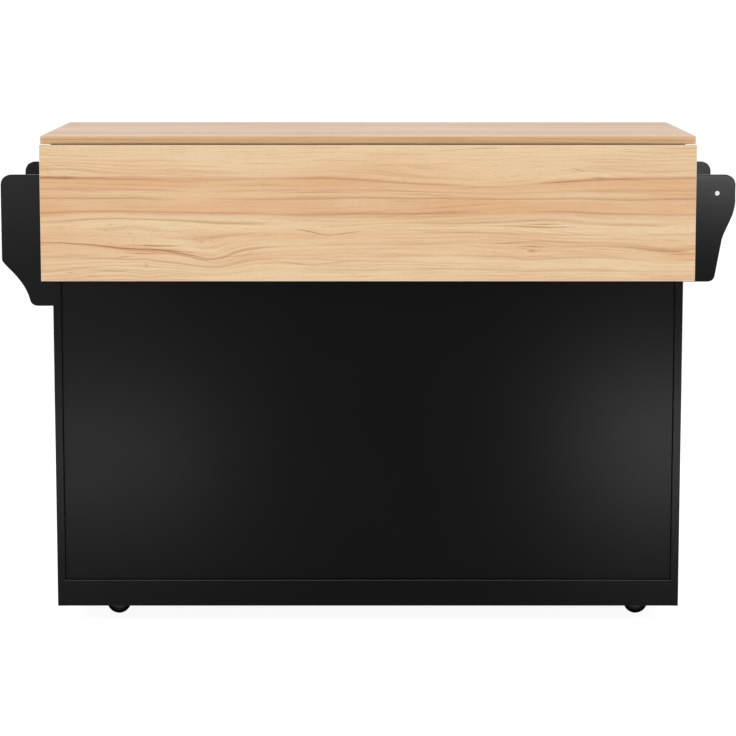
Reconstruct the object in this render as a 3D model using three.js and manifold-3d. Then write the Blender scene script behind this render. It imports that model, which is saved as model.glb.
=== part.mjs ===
// Drop leaf kitchen island on casters: a painted cabinet under a thin wooden worktop, with a hinged
// wooden leaf along its rear edge, a spice rack on the left end and a towel rack on the right end.
// Millimetres. X runs along the island (+X is the towel end), Y from the leaf side (-Y) to the door
// side (+Y), Z up. The depths below are worked out from the worktop's rear edge; the root group then
// moves the whole island so that the origin is on the floor under the middle of its bounding box.
import * as THREE from "three";
import { mergeVertices } from "three/addons/utils/BufferGeometryUtils.js";
import Module from "manifold-3d";

const wasm = await Module();
wasm.setup();

// ---- General sizes
const overallHeight = 932;
const arris = 1; // small chamfer round each board
const runningGap = 0.3; // between pieces that turn, slide or plug into each other
const buried = 1; // how far a fused fitting goes into the board that carries it

// ---- Worktop and drop leaf
const topLength = 1220;
const topDepth = 508;
const topThickness = 15;
const leafReach = 253;
const leafThickness = 15;
const leafGap = 1; // between the worktop and the raised leaf
const leafPinSetback = 2.5; // hinge pin, behind the worktop's rear edge
const leafKnuckleRadius = 3;
const leafPinRadius = 1.25;
const leafHingeLength = 64;
const leafHingeWing = 28; // width of each hinge wing from the pin
const leafWingThickness = 1.5;
const leafHingeInset = 180; // middle of the outer hinges, from the worktop's ends

// ---- Cabinet
const endOverhang = 14; // of the worktop past the cabinet
const rearOverhang = 45;
const frontOverhang = 73;
const boardThickness = 15;
const backThickness = 12;
const backRecess = 8;
const floorClearance = 28;
const railHeight = 50;

// ---- Shelves on pegs
const shelfHeight = 490; // of the peg centres
const shelfSetback = 20;
const shelfSideGap = 1;
const pegRadius = 2.5;
const pegReach = 8; // into the side of the bay
const pegGrip = 12; // under the shelf
const pegHoleDepth = 9;
const pegHolePitch = 64;
const pegEdgeDistance = 50;

// ---- Fronts: two doors and three drawers
const frontThickness = 15;
const frontStandoff = 2; // behind the doors and drawer fronts
const frontGap = 3;
const frontOverlap = 10; // over the bottom rail
const frontFrame = 55; // stiles and rails round the sunk field
const fieldDepth = 6;
const doorEdgeInset = 0.5;
const drawerCount = 3;

// ---- Door hinges
const doorPinOutset = 3; // hinge pin, outside the cabinet's end
const doorKnuckleRadius = 2.7;
const doorPinRadius = 1.1;
const doorHingeLength = 44;
const doorHingeWing = 13;
const doorWingThickness = 0.85;
const doorHingeFromTop = 30;
const doorHingeFromBottom = 60;

// ---- Magnets in the bottom rail that hold the doors shut, and their strike plates
const magnetRadius = 4;
const strikeRadius = 4.5;
const strikeSheet = 1;
const magnetInset = 45; // from the door's free edge

// ---- Drawer boxes and their side runners
const drawerSideGap = 4;
const drawerBackGap = 20; // between the box and the back panel
const drawerWall = 12;
const drawerFloor = 6;
const drawerHeight = 200;
const drawerRise = 34; // box above the foot of its front
const runnerHeight = 12;
const runnerProud = 9;
const runnerBackGap = 29;

// ---- Bar handles
const handleLength = 160;
const handleCentres = 128;
const handleRadius = 5;
const handlePostRadius = 4;
const handleStandoff = 27; // bar centre off the face
const doorHandleInset = 30;
const doorHandleHeight = 590;
const drawerHandleDrop = 28;

// ---- Racks on the two ends
const rackReach = 95.5;
const rackTopDrop = 75.5; // below the top of the worktop
const rackCornerRadius = 17.5;
const spiceDrop = 248; // height of the spice rack's end plates
const spiceStraight = 159.5;
const spiceFoot = 28;
const spiceBelly = 11; // how far the outer edge's line pulls the sweep down
const spiceHollowOut = 27; // the sweep's hollow, out past the foot and below the straight
const spiceHollowDown = 33;
const spiceAnkleOut = 15.5; // where the hollow meets the rounded toe
const spiceAnkleRise = 11.2;
const spiceToeOut = 12.2;
const towelDrop = 202;
const towelStraight = 49.5;
const towelFoot = 44;
const towelBelly = 29;
const towelHollowOut = 32;
const towelHollowDown = 51;
const towelKneeOut = 27; // where the hollow meets the slanted edge
const towelKneeDown = 75;
const towelAnkleOut = 15.4; // where the slanted edge meets the rounded toe
const towelAnkleRise = 12;
const towelToeOut = 13.3;
const rackShelfThickness = 12;
const rackShelfInset = 5.5; // shelf and slat, behind the plates' outer edge
const rackShelfDrop = 144; // top of the shelf board below the plates' tops
const slatHeight = 34;
const slatThickness = 10;
const slatRise = 30; // above the rack's shelf
const towelBarRadius = 7;
const towelBarOut = 61;
const towelBarDrop = 34.5; // below the plates' tops
const barScrewRadius = 2.5;
const barScrewHeadRadius = 5;
const barScrewHeadHeight = 2.5;
const barScrewGrip = 10; // length inside the bar

// ---- Folding stays that hold the leaf up
const stayInset = 310; // arms, from the worktop's ends
const stayPivotDrop = 95; // below the leaf's hinge pin
const stayPivotOut = 16.5; // from the hinge pin towards the cabinet
const stayRollerReach = 235; // along the hanging leaf
const stayRollerOffset = 8; // roller centre off the leaf
const stayRollerRadius = 5;
const stayRollerWidth = 12;
const stayArmThickness = 3;
const stayEyeRadius = 7;
const stayPinRadius = 3;
const trackWall = 1.5;
const trackFloor = 2;
const trackDepth = 14.5;
const trackMargin = 10; // past the roller at each end
const bracketPlate = 3;
const bracketWidth = 30;
const bracketHeight = 64;

// ---- Casters
const wheelRadius = 23;
const wheelWidth = 18;
const casterTrail = 18;
const casterEndInset = 94; // swivel axis from the cabinet's end
const casterFaceInset = 64; // swivel axis from the cabinet's rear and front
const axleRadius = 3;
const axleHeadRadius = 4.5;
const axleHeadHeight = 1.5;
const axleBossRadius = 7;
const forkSheet = 2;
const forkTop = 3;
const forkSideGap = 1;
const forkCrown = 8.7; // top of the fork above the wheel
const raceRadius = 13;
const kingPinRadius = 4;
const kingHeadRadius = 7;
const kingHeadHeight = 2.5;
const casterPlateLength = 58;
const casterPlateWidth = 46;
const casterPlateSheet = 2.5;
const pedalPinRadius = 2;
const pedalBarrelRadius = 3.6;
const pedalPinOut = 23; // from the axle
const pedalPinRise = 16;

// ---- Levels and planes that follow from the sizes
const grid = (v) => Math.round(v * 64) / 64; // faces that meet share one exact plane
const topUnderside = overallHeight - topThickness;
const railTop = floorClearance + railHeight;
const bottomUnderside = railTop - boardThickness;
const bodyEnd = topLength / 2 - endOverhang;
const bodyInside = bodyEnd - boardThickness;
const bodyRear = rearOverhang;
const bodyFront = topDepth - frontOverhang;
const backRear = bodyRear + backRecess;
const backFront = backRear + backThickness;
const bayWidth = (2 * bodyInside - 2 * boardThickness) / 3;
const partitionInner = grid(bayWidth / 2);
const partitionOuter = partitionInner + boardThickness;
const frontRear = bodyFront + frontStandoff;
const frontFace = frontRear + frontThickness;
const frontBottom = railTop - frontOverlap;
const frontTop = topUnderside - frontGap;
const doorFreeEdge = partitionInner + boardThickness / 2 + frontGap / 2;
const magnetX = doorFreeEdge + magnetInset;
const magnetZ = (frontBottom + railTop) / 2;
const leafPinY = -leafPinSetback;
const leafPinZ = topUnderside - leafKnuckleRadius;
const leafInside = leafPinY - leafKnuckleRadius;
const leafOutside = leafInside - leafThickness;
const leafTop = leafPinZ + leafPinSetback - leafGap;
const rackTop = overallHeight - rackTopDrop;
const midY = (leafOutside + topDepth) / 2;

// ---- Materials
const paint = new THREE.MeshStandardMaterial({ color: 0x19191b, roughness: 0.42 });
const wood = new THREE.MeshStandardMaterial({ color: 0xddbd96, roughness: 0.5 });
const steel = new THREE.MeshStandardMaterial({ color: 0xb9bcc0, roughness: 0.3, metalness: 1 });
const zinc = new THREE.MeshStandardMaterial({ color: 0x8b8f94, roughness: 0.45, metalness: 1 });
const board = new THREE.MeshStandardMaterial({ color: 0xcdb08a, roughness: 0.6 });
const tyre = new THREE.MeshStandardMaterial({ color: 0x101011, roughness: 0.6 });
const plastic = new THREE.MeshStandardMaterial({ color: 0x171718, roughness: 0.5 });
const blackened = new THREE.MeshStandardMaterial({ color: 0x2b2623, roughness: 0.5, metalness: 1 });

// ---- Solids: joins, cuts, plates, rods and turned pieces
function solidOf(geometry) {
  const loose = geometry.index ? geometry.toNonIndexed() : geometry;
  const bare = new THREE.BufferGeometry();
  bare.setAttribute("position", loose.getAttribute("position"));
  const merged = mergeVertices(bare, 1e-4);
  return new wasm.Manifold(
    new wasm.Mesh({
      numProp: 3,
      vertProperties: merged.getAttribute("position").array,
      triVerts: new Uint32Array(merged.index.array),
    }),
  );
}

function geometryOf(solid) {
  const mesh = solid.getMesh();
  const geometry = new THREE.BufferGeometry();
  geometry.setAttribute("position", new THREE.BufferAttribute(mesh.vertProperties, 3));
  geometry.setIndex(new THREE.BufferAttribute(mesh.triVerts, 1));
  return geometry;
}

function join(...pieces) {
  return geometryOf(pieces.map(solidOf).reduce((whole, next) => whole.add(next)));
}

function cut(body, ...tools) {
  return geometryOf(tools.map(solidOf).reduce((left, tool) => left.subtract(tool), solidOf(body)));
}

// A shape drawn square to an axis and carried along it. Across Z the shape is drawn in X and Y,
// across Y in X and Z, and across X in Y and Z.
function plate(axis, shape, from, to, chamfer = 0, curveSegments = 6) {
  const geometry = new THREE.ExtrudeGeometry(shape, {
    depth: to - from - 2 * chamfer,
    curveSegments,
    bevelEnabled: chamfer > 0,
    bevelSize: chamfer,
    bevelThickness: chamfer,
    bevelOffset: -chamfer,
    bevelSegments: 1,
  });
  geometry.translate(0, 0, chamfer);
  if (axis === "x") geometry.rotateY(Math.PI / 2).rotateX(Math.PI / 2).translate(from, 0, 0);
  if (axis === "y") geometry.rotateX(Math.PI / 2).translate(0, to, 0);
  if (axis === "z") geometry.translate(0, 0, from);
  return geometry;
}

function polygon(...points) {
  return new THREE.Shape(points.map(([u, v]) => new THREE.Vector2(u, v)));
}

function rectangle(u0, u1, v0, v1) {
  return polygon([u0, v0], [u1, v0], [u1, v1], [u0, v1]);
}

function disc(u, v, radius, sides) {
  const turn = (2 * Math.PI) / sides;
  const rim = Array.from({ length: sides }, (_, i) => [
    u + radius * Math.cos(turn * (i + 0.5)),
    v + radius * Math.sin(turn * (i + 0.5)),
  ]);
  return polygon(...rim);
}

function rod(axis, u, v, radius, from, to, sides = 12) {
  return plate(axis, disc(u, v, radius, sides), from, to);
}

// A board between six planes, chamfered round its two broad faces.
function slab([x0, x1], [y0, y1], [z0, z1], chamfer = arris) {
  const [xa, xb, ya, yb, za, zb] = [x0, x1, y0, y1, z0, z1].map(grid);
  const thinnest = Math.min(xb - xa, yb - ya, zb - za);
  if (zb - za === thinnest) return plate("z", rectangle(xa, xb, ya, yb), za, zb, chamfer);
  if (yb - ya === thinnest) return plate("y", rectangle(xa, xb, za, zb), ya, yb, chamfer);
  return plate("x", rectangle(ya, yb, za, zb), xa, xb, chamfer);
}

// A profile of [radius, height] pairs turned about an axis through (u, v).
function turned(axis, u, v, profile, sides) {
  const geometry = new THREE.LatheGeometry(
    profile.map(([radius, height]) => new THREE.Vector2(radius, height)),
    sides,
  );
  if (axis === "x") geometry.rotateZ(-Math.PI / 2).translate(0, u, v);
  if (axis === "y") geometry.translate(u, 0, v);
  if (axis === "z") geometry.rotateX(Math.PI / 2).translate(u, v, 0);
  return geometry;
}

// Orders a span whose ends are mirrored to the left end of the island.
function span(side, near, far) {
  return side > 0 ? [near, far] : [-far, -near];
}

// ---- Scene graph
const island = new THREE.Group();
island.position.set(0, -grid(midY), 0);
island.userData.at = new THREE.Vector3();

function groupAt(parent, x, y, z) {
  const group = new THREE.Group();
  group.userData.at = new THREE.Vector3(grid(x), grid(y), grid(z));
  group.position.copy(group.userData.at).sub(parent.userData.at);
  parent.add(group);
  return group;
}

function place(parent, name, geometry, material) {
  geometry.computeBoundingBox();
  const at = geometry.boundingBox.getCenter(new THREE.Vector3());
  at.set(grid(at.x), grid(at.y), grid(at.z));
  const local = (geometry.index ? geometry.toNonIndexed() : geometry).translate(-at.x, -at.y, -at.z);
  local.computeVertexNormals();
  const mesh = new THREE.Mesh(local, material);
  mesh.name = name;
  mesh.position.copy(at).sub(parent.userData.at);
  parent.add(mesh);
}

// ---- Worktop and cabinet
function addCabinetBoards(cabinet) {
  const across = [-bodyInside, bodyInside];
  const underTop = [railTop, topUnderside];
  const rail = [floorClearance, railTop];
  const boards = {
    back_panel: [across, [backRear, backFront], underTop],
    back_bottom_rail: [across, [bodyRear, bodyRear + boardThickness], rail],
    bottom_panel: [
      across,
      [bodyRear + boardThickness, bodyFront - boardThickness],
      [bottomUnderside, railTop],
    ],
  };
  for (const [name, [x, y, z]] of Object.entries(boards)) {
    place(cabinet, name, slab(x, y, z), paint);
  }
  const frontRail = slab(across, [bodyFront - boardThickness, bodyFront], rail);
  const magnetEnds = [bodyFront - buried, frontRear - strikeSheet - runningGap];
  const magnets = [-1, 1].map((side) => rod("y", side * magnetX, magnetZ, magnetRadius, ...magnetEnds));
  place(cabinet, "front_bottom_rail", join(frontRail, ...magnets), paint);
  const topSpan = [-topLength / 2, topLength / 2];
  place(cabinet, "worktop", slab(topSpan, [0, topDepth], [topUnderside, overallHeight]), wood);
}

// Two columns of blind peg holes in the face at `face` of a board that lies `towards` one side of it.
const pegColumns = [backFront + pegEdgeDistance, bodyFront - pegEdgeDistance];

function pegHoles(face, towards) {
  const depth = [face - towards * buried, face + towards * pegHoleDepth].sort((a, b) => a - b);
  return pegColumns.flatMap((y) =>
    [-1, 0, 1].map((step) => {
      const z = shelfHeight + step * pegHolePitch;
      return rod("x", y, z, pegRadius + runningGap, ...depth, 8);
    }),
  );
}

function addSidePanels(cabinet) {
  for (const [side, name] of [[-1, "side_panel_left"], [1, "side_panel_right"]]) {
    const panel = slab(
      span(side, bodyInside, bodyEnd),
      [bodyRear, bodyFront],
      [floorClearance, topUnderside],
    );
    const hinges = doorHingeLevels.flatMap((z) => fixedDoorHinge(side, z));
    const drilled = cut(panel, ...pegHoles(side * bodyInside, side));
    place(cabinet, name, join(drilled, ...hinges), paint);
  }
}

// Each partition is drilled for a shelf on its outer face and carries drawer runners on its inner.
function addPartitions(cabinet) {
  for (const [side, name] of [[-1, "partition_left"], [1, "partition_right"]]) {
    const panel = slab(
      span(side, partitionInner, partitionOuter),
      [backFront, bodyFront],
      [railTop, topUnderside],
    );
    const runners = drawerLevels.map((bottom) => {
      const middle = bottom + drawerRise + drawerHeight / 2;
      return slab(
        span(side, partitionInner - runnerProud, partitionInner + buried),
        [backFront + runnerBackGap, bodyFront - buried],
        [middle - runnerHeight / 2, middle + runnerHeight / 2],
        0,
      );
    });
    const drilled = cut(panel, ...pegHoles(side * partitionOuter, -side));
    place(cabinet, name, join(drilled, ...runners), paint);
  }
}

// Each shelf has four pegs let into its underside, which plug into the holes beside it.
function addShelves(cabinet) {
  const underside = shelfHeight + pegRadius / 2;
  for (const [side, name] of [[-1, "shelf_left"], [1, "shelf_right"]]) {
    const shelf = slab(
      span(side, partitionOuter + shelfSideGap, bodyInside - shelfSideGap),
      [backFront + shelfSideGap, bodyFront - shelfSetback],
      [underside, underside + boardThickness],
    );
    const ends = [[partitionOuter, -1], [bodyInside, 1]];
    const pegs = ends.flatMap(([face, out]) => {
      const reach = [face - out * pegGrip, face + out * pegReach].sort((a, b) => a - b);
      return pegColumns.map((y) => rod("x", y, shelfHeight, pegRadius, ...span(side, ...reach), 8));
    });
    place(cabinet, name, join(shelf, ...pegs), paint);
  }
}

// ---- Racks
// The shaped end plate in X and Z: square at the top, a rounded outer corner, a straight outer edge,
// then an S-shaped sweep in to a flat foot against the cabinet's end.
function rackOutline(side, drop, straight, foot, sweep) {
  const at = (out, down) => [side * (bodyEnd + out), rackTop - down];
  const shape = new THREE.Shape();
  shape.moveTo(...at(0, 0));
  shape.lineTo(...at(rackReach - rackCornerRadius, 0));
  shape.quadraticCurveTo(
    ...at(rackReach - 0.12 * rackCornerRadius, 0.12 * rackCornerRadius),
    ...at(rackReach, rackCornerRadius),
  );
  shape.lineTo(...at(rackReach, straight));
  sweep(shape, at);
  shape.lineTo(...at(foot, drop));
  shape.lineTo(...at(0, drop));
  return shape;
}

function spiceSweep(shape, at) {
  const ankle = [spiceFoot + spiceAnkleOut, spiceDrop - spiceAnkleRise];
  shape.bezierCurveTo(
    ...at(rackReach, spiceStraight + spiceBelly),
    ...at(spiceFoot + spiceHollowOut, spiceStraight + spiceHollowDown),
    ...at(...ankle),
  );
  shape.quadraticCurveTo(...at(spiceFoot + spiceToeOut, spiceDrop), ...at(spiceFoot, spiceDrop));
}

function towelSweep(shape, at) {
  shape.bezierCurveTo(
    ...at(rackReach, towelStraight + towelBelly),
    ...at(towelFoot + towelHollowOut, towelStraight + towelHollowDown),
    ...at(towelFoot + towelKneeOut, towelStraight + towelKneeDown),
  );
  shape.lineTo(...at(towelFoot + towelAnkleOut, towelDrop - towelAnkleRise));
  shape.quadraticCurveTo(...at(towelFoot + towelToeOut, towelDrop), ...at(towelFoot, towelDrop));
}

const rearPlate = [bodyRear, bodyRear + boardThickness];
const frontPlate = [bodyFront - boardThickness, bodyFront];
const plateCurve = 16; // segments of each curve of a plate

function addSpiceRack(cabinet) {
  const outline = rackOutline(-1, spiceDrop, spiceStraight, spiceFoot, spiceSweep);
  place(cabinet, "spice_rack_rear_end", plate("y", outline, ...rearPlate, arris, plateCurve), paint);
  place(cabinet, "spice_rack_front_end", plate("y", outline, ...frontPlate, arris, plateCurve), paint);
  const between = [rearPlate[1], frontPlate[0]];
  const shelfTop = rackTop - rackShelfDrop;
  const shelfEnd = bodyEnd + rackReach - rackShelfInset;
  const shelf = slab(
    span(-1, bodyEnd, shelfEnd),
    between,
    [shelfTop - rackShelfThickness, shelfTop],
  );
  const slat = slab(
    span(-1, shelfEnd - slatThickness, shelfEnd),
    between,
    [shelfTop + slatRise, shelfTop + slatRise + slatHeight],
  );
  place(cabinet, "spice_rack_shelf", shelf, paint);
  place(cabinet, "spice_rack_slat", slat, paint);
}

// The bar is clamped between the plates by a screw at each end, in a clearance hole.
function addTowelRack(cabinet) {
  const x = bodyEnd + towelBarOut;
  const z = rackTop - towelBarDrop;
  const holeRadius = barScrewRadius + runningGap;
  const outline = rackOutline(1, towelDrop, towelStraight, towelFoot, towelSweep);
  outline.holes.push(disc(x, z, holeRadius, 12));
  place(cabinet, "towel_rack_rear_end", plate("y", outline, ...rearPlate, arris, plateCurve), paint);
  place(cabinet, "towel_rack_front_end", plate("y", outline, ...frontPlate, arris, plateCurve), paint);
  const [near, far] = [rearPlate[1], frontPlate[0]];
  const bore = barScrewGrip + 2;
  const barProfile = [
    [0, near + bore],
    [holeRadius, near + bore],
    [holeRadius, near],
    [towelBarRadius - arris, near],
    [towelBarRadius, near + arris],
    [towelBarRadius, far - arris],
    [towelBarRadius - arris, far],
    [holeRadius, far],
    [holeRadius, far - bore],
    [0, far - bore],
  ];
  place(cabinet, "towel_bar", turned("y", x, z, barProfile, 16), steel);
  const grip = boardThickness + barScrewGrip;
  const screw = (face, inwards) => {
    const profile = [
      [0, -barScrewHeadHeight],
      [barScrewHeadRadius * 0.72, -barScrewHeadHeight],
      [barScrewHeadRadius, -barScrewHeadHeight * 0.4],
      [barScrewHeadRadius, 0],
      [barScrewRadius, 0],
      [barScrewRadius, grip],
      [0, grip],
    ].map(([radius, depth]) => [radius, face + inwards * depth]);
    return turned("y", x, z, inwards > 0 ? profile : profile.reverse(), 16);
  };
  place(cabinet, "towel_bar_screw_rear", screw(rearPlate[0], 1), steel);
  place(cabinet, "towel_bar_screw_front", screw(frontPlate[1], -1), steel);
}

// ---- Butt hinges
// A knuckle round the pin along `axis`, with or without a bore for the pin.
function knuckle(axis, [u, v], radius, from, to, boreRadius = 0) {
  const ring = disc(u, v, radius, 12);
  if (boreRadius) ring.holes.push(disc(u, v, boreRadius, 8));
  return plate(axis, ring, from, to);
}

// Each door hinge: two knuckles and the pin stay with the cabinet, the middle knuckle with the door.
const doorHingeLevels = [frontBottom + doorHingeFromBottom, frontTop - doorHingeFromTop];
const doorPinX = bodyEnd + doorPinOutset;
const doorPinY = bodyFront + frontStandoff / 2;
const doorKnuckleHalf = doorHingeLength / 6;

function fixedDoorHinge(side, level) {
  const [low, high] = [level - doorHingeLength / 2, level + doorHingeLength / 2];
  const pin = [side * doorPinX, doorPinY];
  const wingY = [bodyFront - buried, bodyFront + doorWingThickness];
  const wing = slab(span(side, bodyEnd - doorHingeWing, bodyEnd), wingY, [low, high], 0);
  const ends = [[low, level - doorKnuckleHalf], [level + doorKnuckleHalf, high]];
  const barrels = ends.flatMap(([from, to]) => [
    knuckle("z", pin, doorKnuckleRadius, from, to),
    slab(
      span(side, bodyEnd - buried, doorPinX),
      [bodyFront, bodyFront + doorWingThickness],
      [from, to],
      0,
    ),
  ]);
  return [wing, ...barrels, rod("z", ...pin, doorPinRadius, low, high, 8)];
}

function movingDoorHinge(side, level) {
  const half = doorKnuckleHalf - runningGap;
  const wingY = [frontRear - doorWingThickness, frontRear + buried];
  const edge = bodyEnd - doorEdgeInset;
  const wing = slab(
    span(side, edge - doorHingeWing, edge),
    wingY,
    [level - doorHingeLength / 2, level + doorHingeLength / 2],
    0,
  );
  const web = slab(
    span(side, edge - buried, doorPinX),
    [frontRear - doorWingThickness, frontRear + doorWingThickness / 2],
    [level - half, level + half],
    0,
  );
  const pin = [side * doorPinX, doorPinY];
  const barrel = knuckle("z", pin, doorKnuckleRadius, level - half, level + half);
  const bore = rod("z", ...pin, doorPinRadius + runningGap, level - half - 1, level + half + 1, 8);
  return { wing, barrel: cut(join(web, barrel), bore) };
}

// ---- Doors, drawers and their handles
// A front board with a sunk field inside a frame.
function framedFront([x0, x1], [z0, z1]) {
  const field = slab(
    [x0 + frontFrame, x1 - frontFrame],
    [frontFace - fieldDepth, frontFace + 1],
    [z0 + frontFrame, z1 - frontFrame],
    0,
  );
  return cut(slab([x0, x1], [frontRear, frontFace], [z0, z1]), field);
}

function barHandle(along, x, z) {
  const y = frontFace + handleStandoff;
  const [centre, reach] = along === "x" ? [x, handleLength / 2] : [z, handleLength / 2];
  const bar = rod(along, ...(along === "x" ? [y, z] : [x, y]), handleRadius, centre - reach, centre + reach);
  const posts = [-1, 1].map((end) => {
    const shift = (end * handleCentres) / 2;
    const [px, pz] = along === "x" ? [x + shift, z] : [x, z + shift];
    return rod("y", px, pz, handlePostRadius, grid(frontFace), y, 12);
  });
  return join(bar, ...posts);
}

function addDoors(parent) {
  for (const [side, name] of [[-1, "door_left"], [1, "door_right"]]) {
    const door = groupAt(parent, side * doorPinX, doorPinY, frontBottom);
    const across = span(side, doorFreeEdge, bodyEnd - doorEdgeInset);
    const panel = framedFront(across, [frontBottom, frontTop]);
    const hinges = doorHingeLevels.map((level) => movingDoorHinge(side, level));
    const strikeEnds = [frontRear - strikeSheet, frontRear + buried];
    const strike = rod("y", side * magnetX, magnetZ, strikeRadius, ...strikeEnds);
    const whole = join(panel, strike, ...hinges.flatMap(({ wing, barrel }) => [wing, barrel]));
    place(door, name, whole, paint);
    const handleX = side * (doorFreeEdge + doorHandleInset);
    place(door, name + "_handle", barHandle("z", handleX, doorHandleHeight), steel);
  }
}

// Fronts of equal height, from the bottom drawer up.
const drawerPitch = (frontTop - frontBottom + frontGap) / drawerCount;
const drawerLevels = Array.from({ length: drawerCount }, (_, i) => grid(frontBottom + i * drawerPitch));
const drawerNames = ["bottom_drawer", "middle_drawer", "top_drawer"];

// An open box with a groove along each side that rides on the partitions' runners.
function drawerBox(bottom) {
  const half = partitionInner - drawerSideGap;
  const [y0, y1] = [backFront + drawerBackGap, frontRear];
  const [z0, z1] = [bottom + drawerRise, bottom + drawerRise + drawerHeight];
  const hollow = slab(
    [-half + drawerWall, half - drawerWall],
    [y0 + drawerWall, y1 - drawerWall],
    [z0 + drawerFloor, z1 + 1],
    0,
  );
  const middle = (z0 + z1) / 2;
  const grooves = [-1, 1].map((side) =>
    slab(
      span(side, partitionInner - runnerProud - runningGap, partitionInner),
      [y0 - 1, bodyFront - buried + runningGap],
      [middle - runnerHeight / 2 - runningGap, middle + runnerHeight / 2 + runningGap],
      0,
    ),
  );
  return cut(slab([-half, half], [y0, y1], [z0, z1], 0), hollow, ...grooves);
}

function addDrawers(parent) {
  drawerLevels.forEach((bottom, i) => {
    const name = drawerNames[i] ?? "drawer_" + (i + 1);
    const drawer = groupAt(parent, 0, frontRear, bottom);
    const half = partitionInner + boardThickness / 2 - frontGap / 2;
    const top = bottom + drawerPitch - frontGap;
    place(drawer, name + "_front", framedFront([-half, half], [bottom, top]), paint);
    place(drawer, name + "_box", drawerBox(bottom), board);
    place(drawer, name + "_handle", barHandle("x", 0, grid(top - drawerHandleDrop)), steel);
  });
}

// ---- Drop leaf, its three hinges and its two folding stays
const leafHingeThird = leafHingeLength / 3;
const leafPin = [leafPinY, leafPinZ];

// The wing under the worktop, its two knuckles and the pin.
function fixedLeafHinge(x) {
  const [from, to] = [x - leafHingeLength / 2, x + leafHingeLength / 2];
  const clear = leafPinY + leafKnuckleRadius + runningGap;
  const wingZ = [topUnderside - leafWingThickness, topUnderside];
  const wing = slab([from, to], [clear, leafPinY + leafHingeWing], wingZ, 0);
  const ends = [[from, from + leafHingeThird], [to - leafHingeThird, to]];
  const barrels = ends.flatMap(([a, b]) => [
    knuckle("x", leafPin, leafKnuckleRadius, a, b),
    slab([a, b], [leafPinY, clear + 1], wingZ, 0),
  ]);
  return join(wing, ...barrels, rod("x", ...leafPin, leafPinRadius, from, to, 8));
}

// The wing on the leaf's inner face and its middle knuckle, bored for the pin.
function movingLeafHinge(x) {
  const half = leafHingeThird / 2 - runningGap;
  const wingY = [leafInside, leafInside + leafWingThickness];
  const clear = leafPinZ - leafKnuckleRadius - runningGap;
  const wing = slab(
    [x - leafHingeLength / 2, x + leafHingeLength / 2],
    wingY,
    [leafPinZ - leafHingeWing, clear],
    0,
  );
  const web = slab([x - half, x + half], wingY, [clear - 1, leafPinZ], 0);
  const barrel = knuckle("x", leafPin, leafKnuckleRadius, x - half, x + half);
  const bore = rod("x", ...leafPin, leafPinRadius + runningGap, x - half - 1, x + half + 1, 8);
  return join(wing, cut(join(web, barrel), bore));
}

// The stay's pivot, and the roller's place on the hanging leaf and under the raised one.
const stayPivot = [leafPinY + stayPivotOut, leafPinZ - stayPivotDrop];
const rollerDown = [leafInside + stayRollerOffset, leafPinZ - stayRollerReach];
const stayLength = Math.hypot(rollerDown[0] - stayPivot[0], rollerDown[1] - stayPivot[1]);
const rollerUpZ = leafPinZ + leafKnuckleRadius - stayRollerOffset;
const rollerUpReach =
  Math.sqrt(stayLength ** 2 - (rollerUpZ - stayPivot[1]) ** 2) - stayPivotOut;

// Bar with a wide eye at the pivot, in Y and Z.
function stayArm(x) {
  const lean = Math.atan2(rollerDown[1] - stayPivot[1], rollerDown[0] - stayPivot[0]);
  const ease = Math.acos((stayEyeRadius - stayRollerRadius) / stayLength);
  const shape = new THREE.Shape();
  shape.absarc(...rollerDown, stayRollerRadius, lean - ease, lean + ease, false);
  shape.absarc(...stayPivot, stayEyeRadius, lean + ease, lean - ease + 2 * Math.PI, false);
  shape.holes.push(disc(...stayPivot, stayPinRadius + runningGap, 12));
  const half = stayArmThickness / 2;
  const bar = plate("x", shape, x - half, x + half, 0, 4);
  const width = stayRollerWidth / 2;
  return join(bar, rod("x", ...rollerDown, stayRollerRadius, x - width, x + width, 12));
}

// Channel on the leaf that the roller runs in.
function stayTrack(x) {
  const inner = stayRollerWidth / 2 + 0.5;
  const outer = inner + trackWall;
  const [mouth, floor] = [leafInside + trackDepth, leafInside + trackFloor];
  const z = [
    leafPinZ - stayRollerReach - trackMargin,
    leafPinZ - rollerUpReach + trackMargin + stayRollerRadius,
  ];
  const block = slab([x - outer, x + outer], [leafInside, mouth], z, 0);
  return cut(block, slab([x - inner, x + inner], [floor, mouth + 1], [z[0] - 1, z[1] + 1], 0));
}

// Base plate on the back panel and a web beside the arm, with the pivot pin and its head.
function stayBracket(x) {
  const [pivotY, pivotZ] = stayPivot;
  const webFrom = x + stayArmThickness / 2 + runningGap;
  const webTo = webFrom + bracketPlate;
  const base = slab(
    [x - bracketWidth / 2, x + bracketWidth / 2],
    [backRear - bracketPlate, backRear],
    [pivotZ - bracketHeight / 2, pivotZ + bracketHeight / 2],
    0,
  );
  const reach = backRear - bracketPlate / 2;
  const profile = new THREE.Shape();
  profile.moveTo(reach, pivotZ - bracketHeight / 2);
  profile.lineTo(reach, pivotZ + bracketHeight / 2);
  profile.lineTo(pivotY + 2, pivotZ + stayEyeRadius - 1);
  profile.absarc(pivotY, pivotZ, stayEyeRadius - 1, Math.PI / 3, (5 * Math.PI) / 3, false);
  const web = plate("x", profile, grid(webFrom), grid(webTo), 0, 6);
  const headFrom = x - stayArmThickness / 2 - runningGap - 1.5;
  const pin = rod("x", ...stayPivot, stayPinRadius, headFrom, webTo, 12);
  const head = rod("x", ...stayPivot, stayPinRadius + 1.5, headFrom, headFrom + 1.5, 12);
  return join(base, web, pin, head);
}

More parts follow.
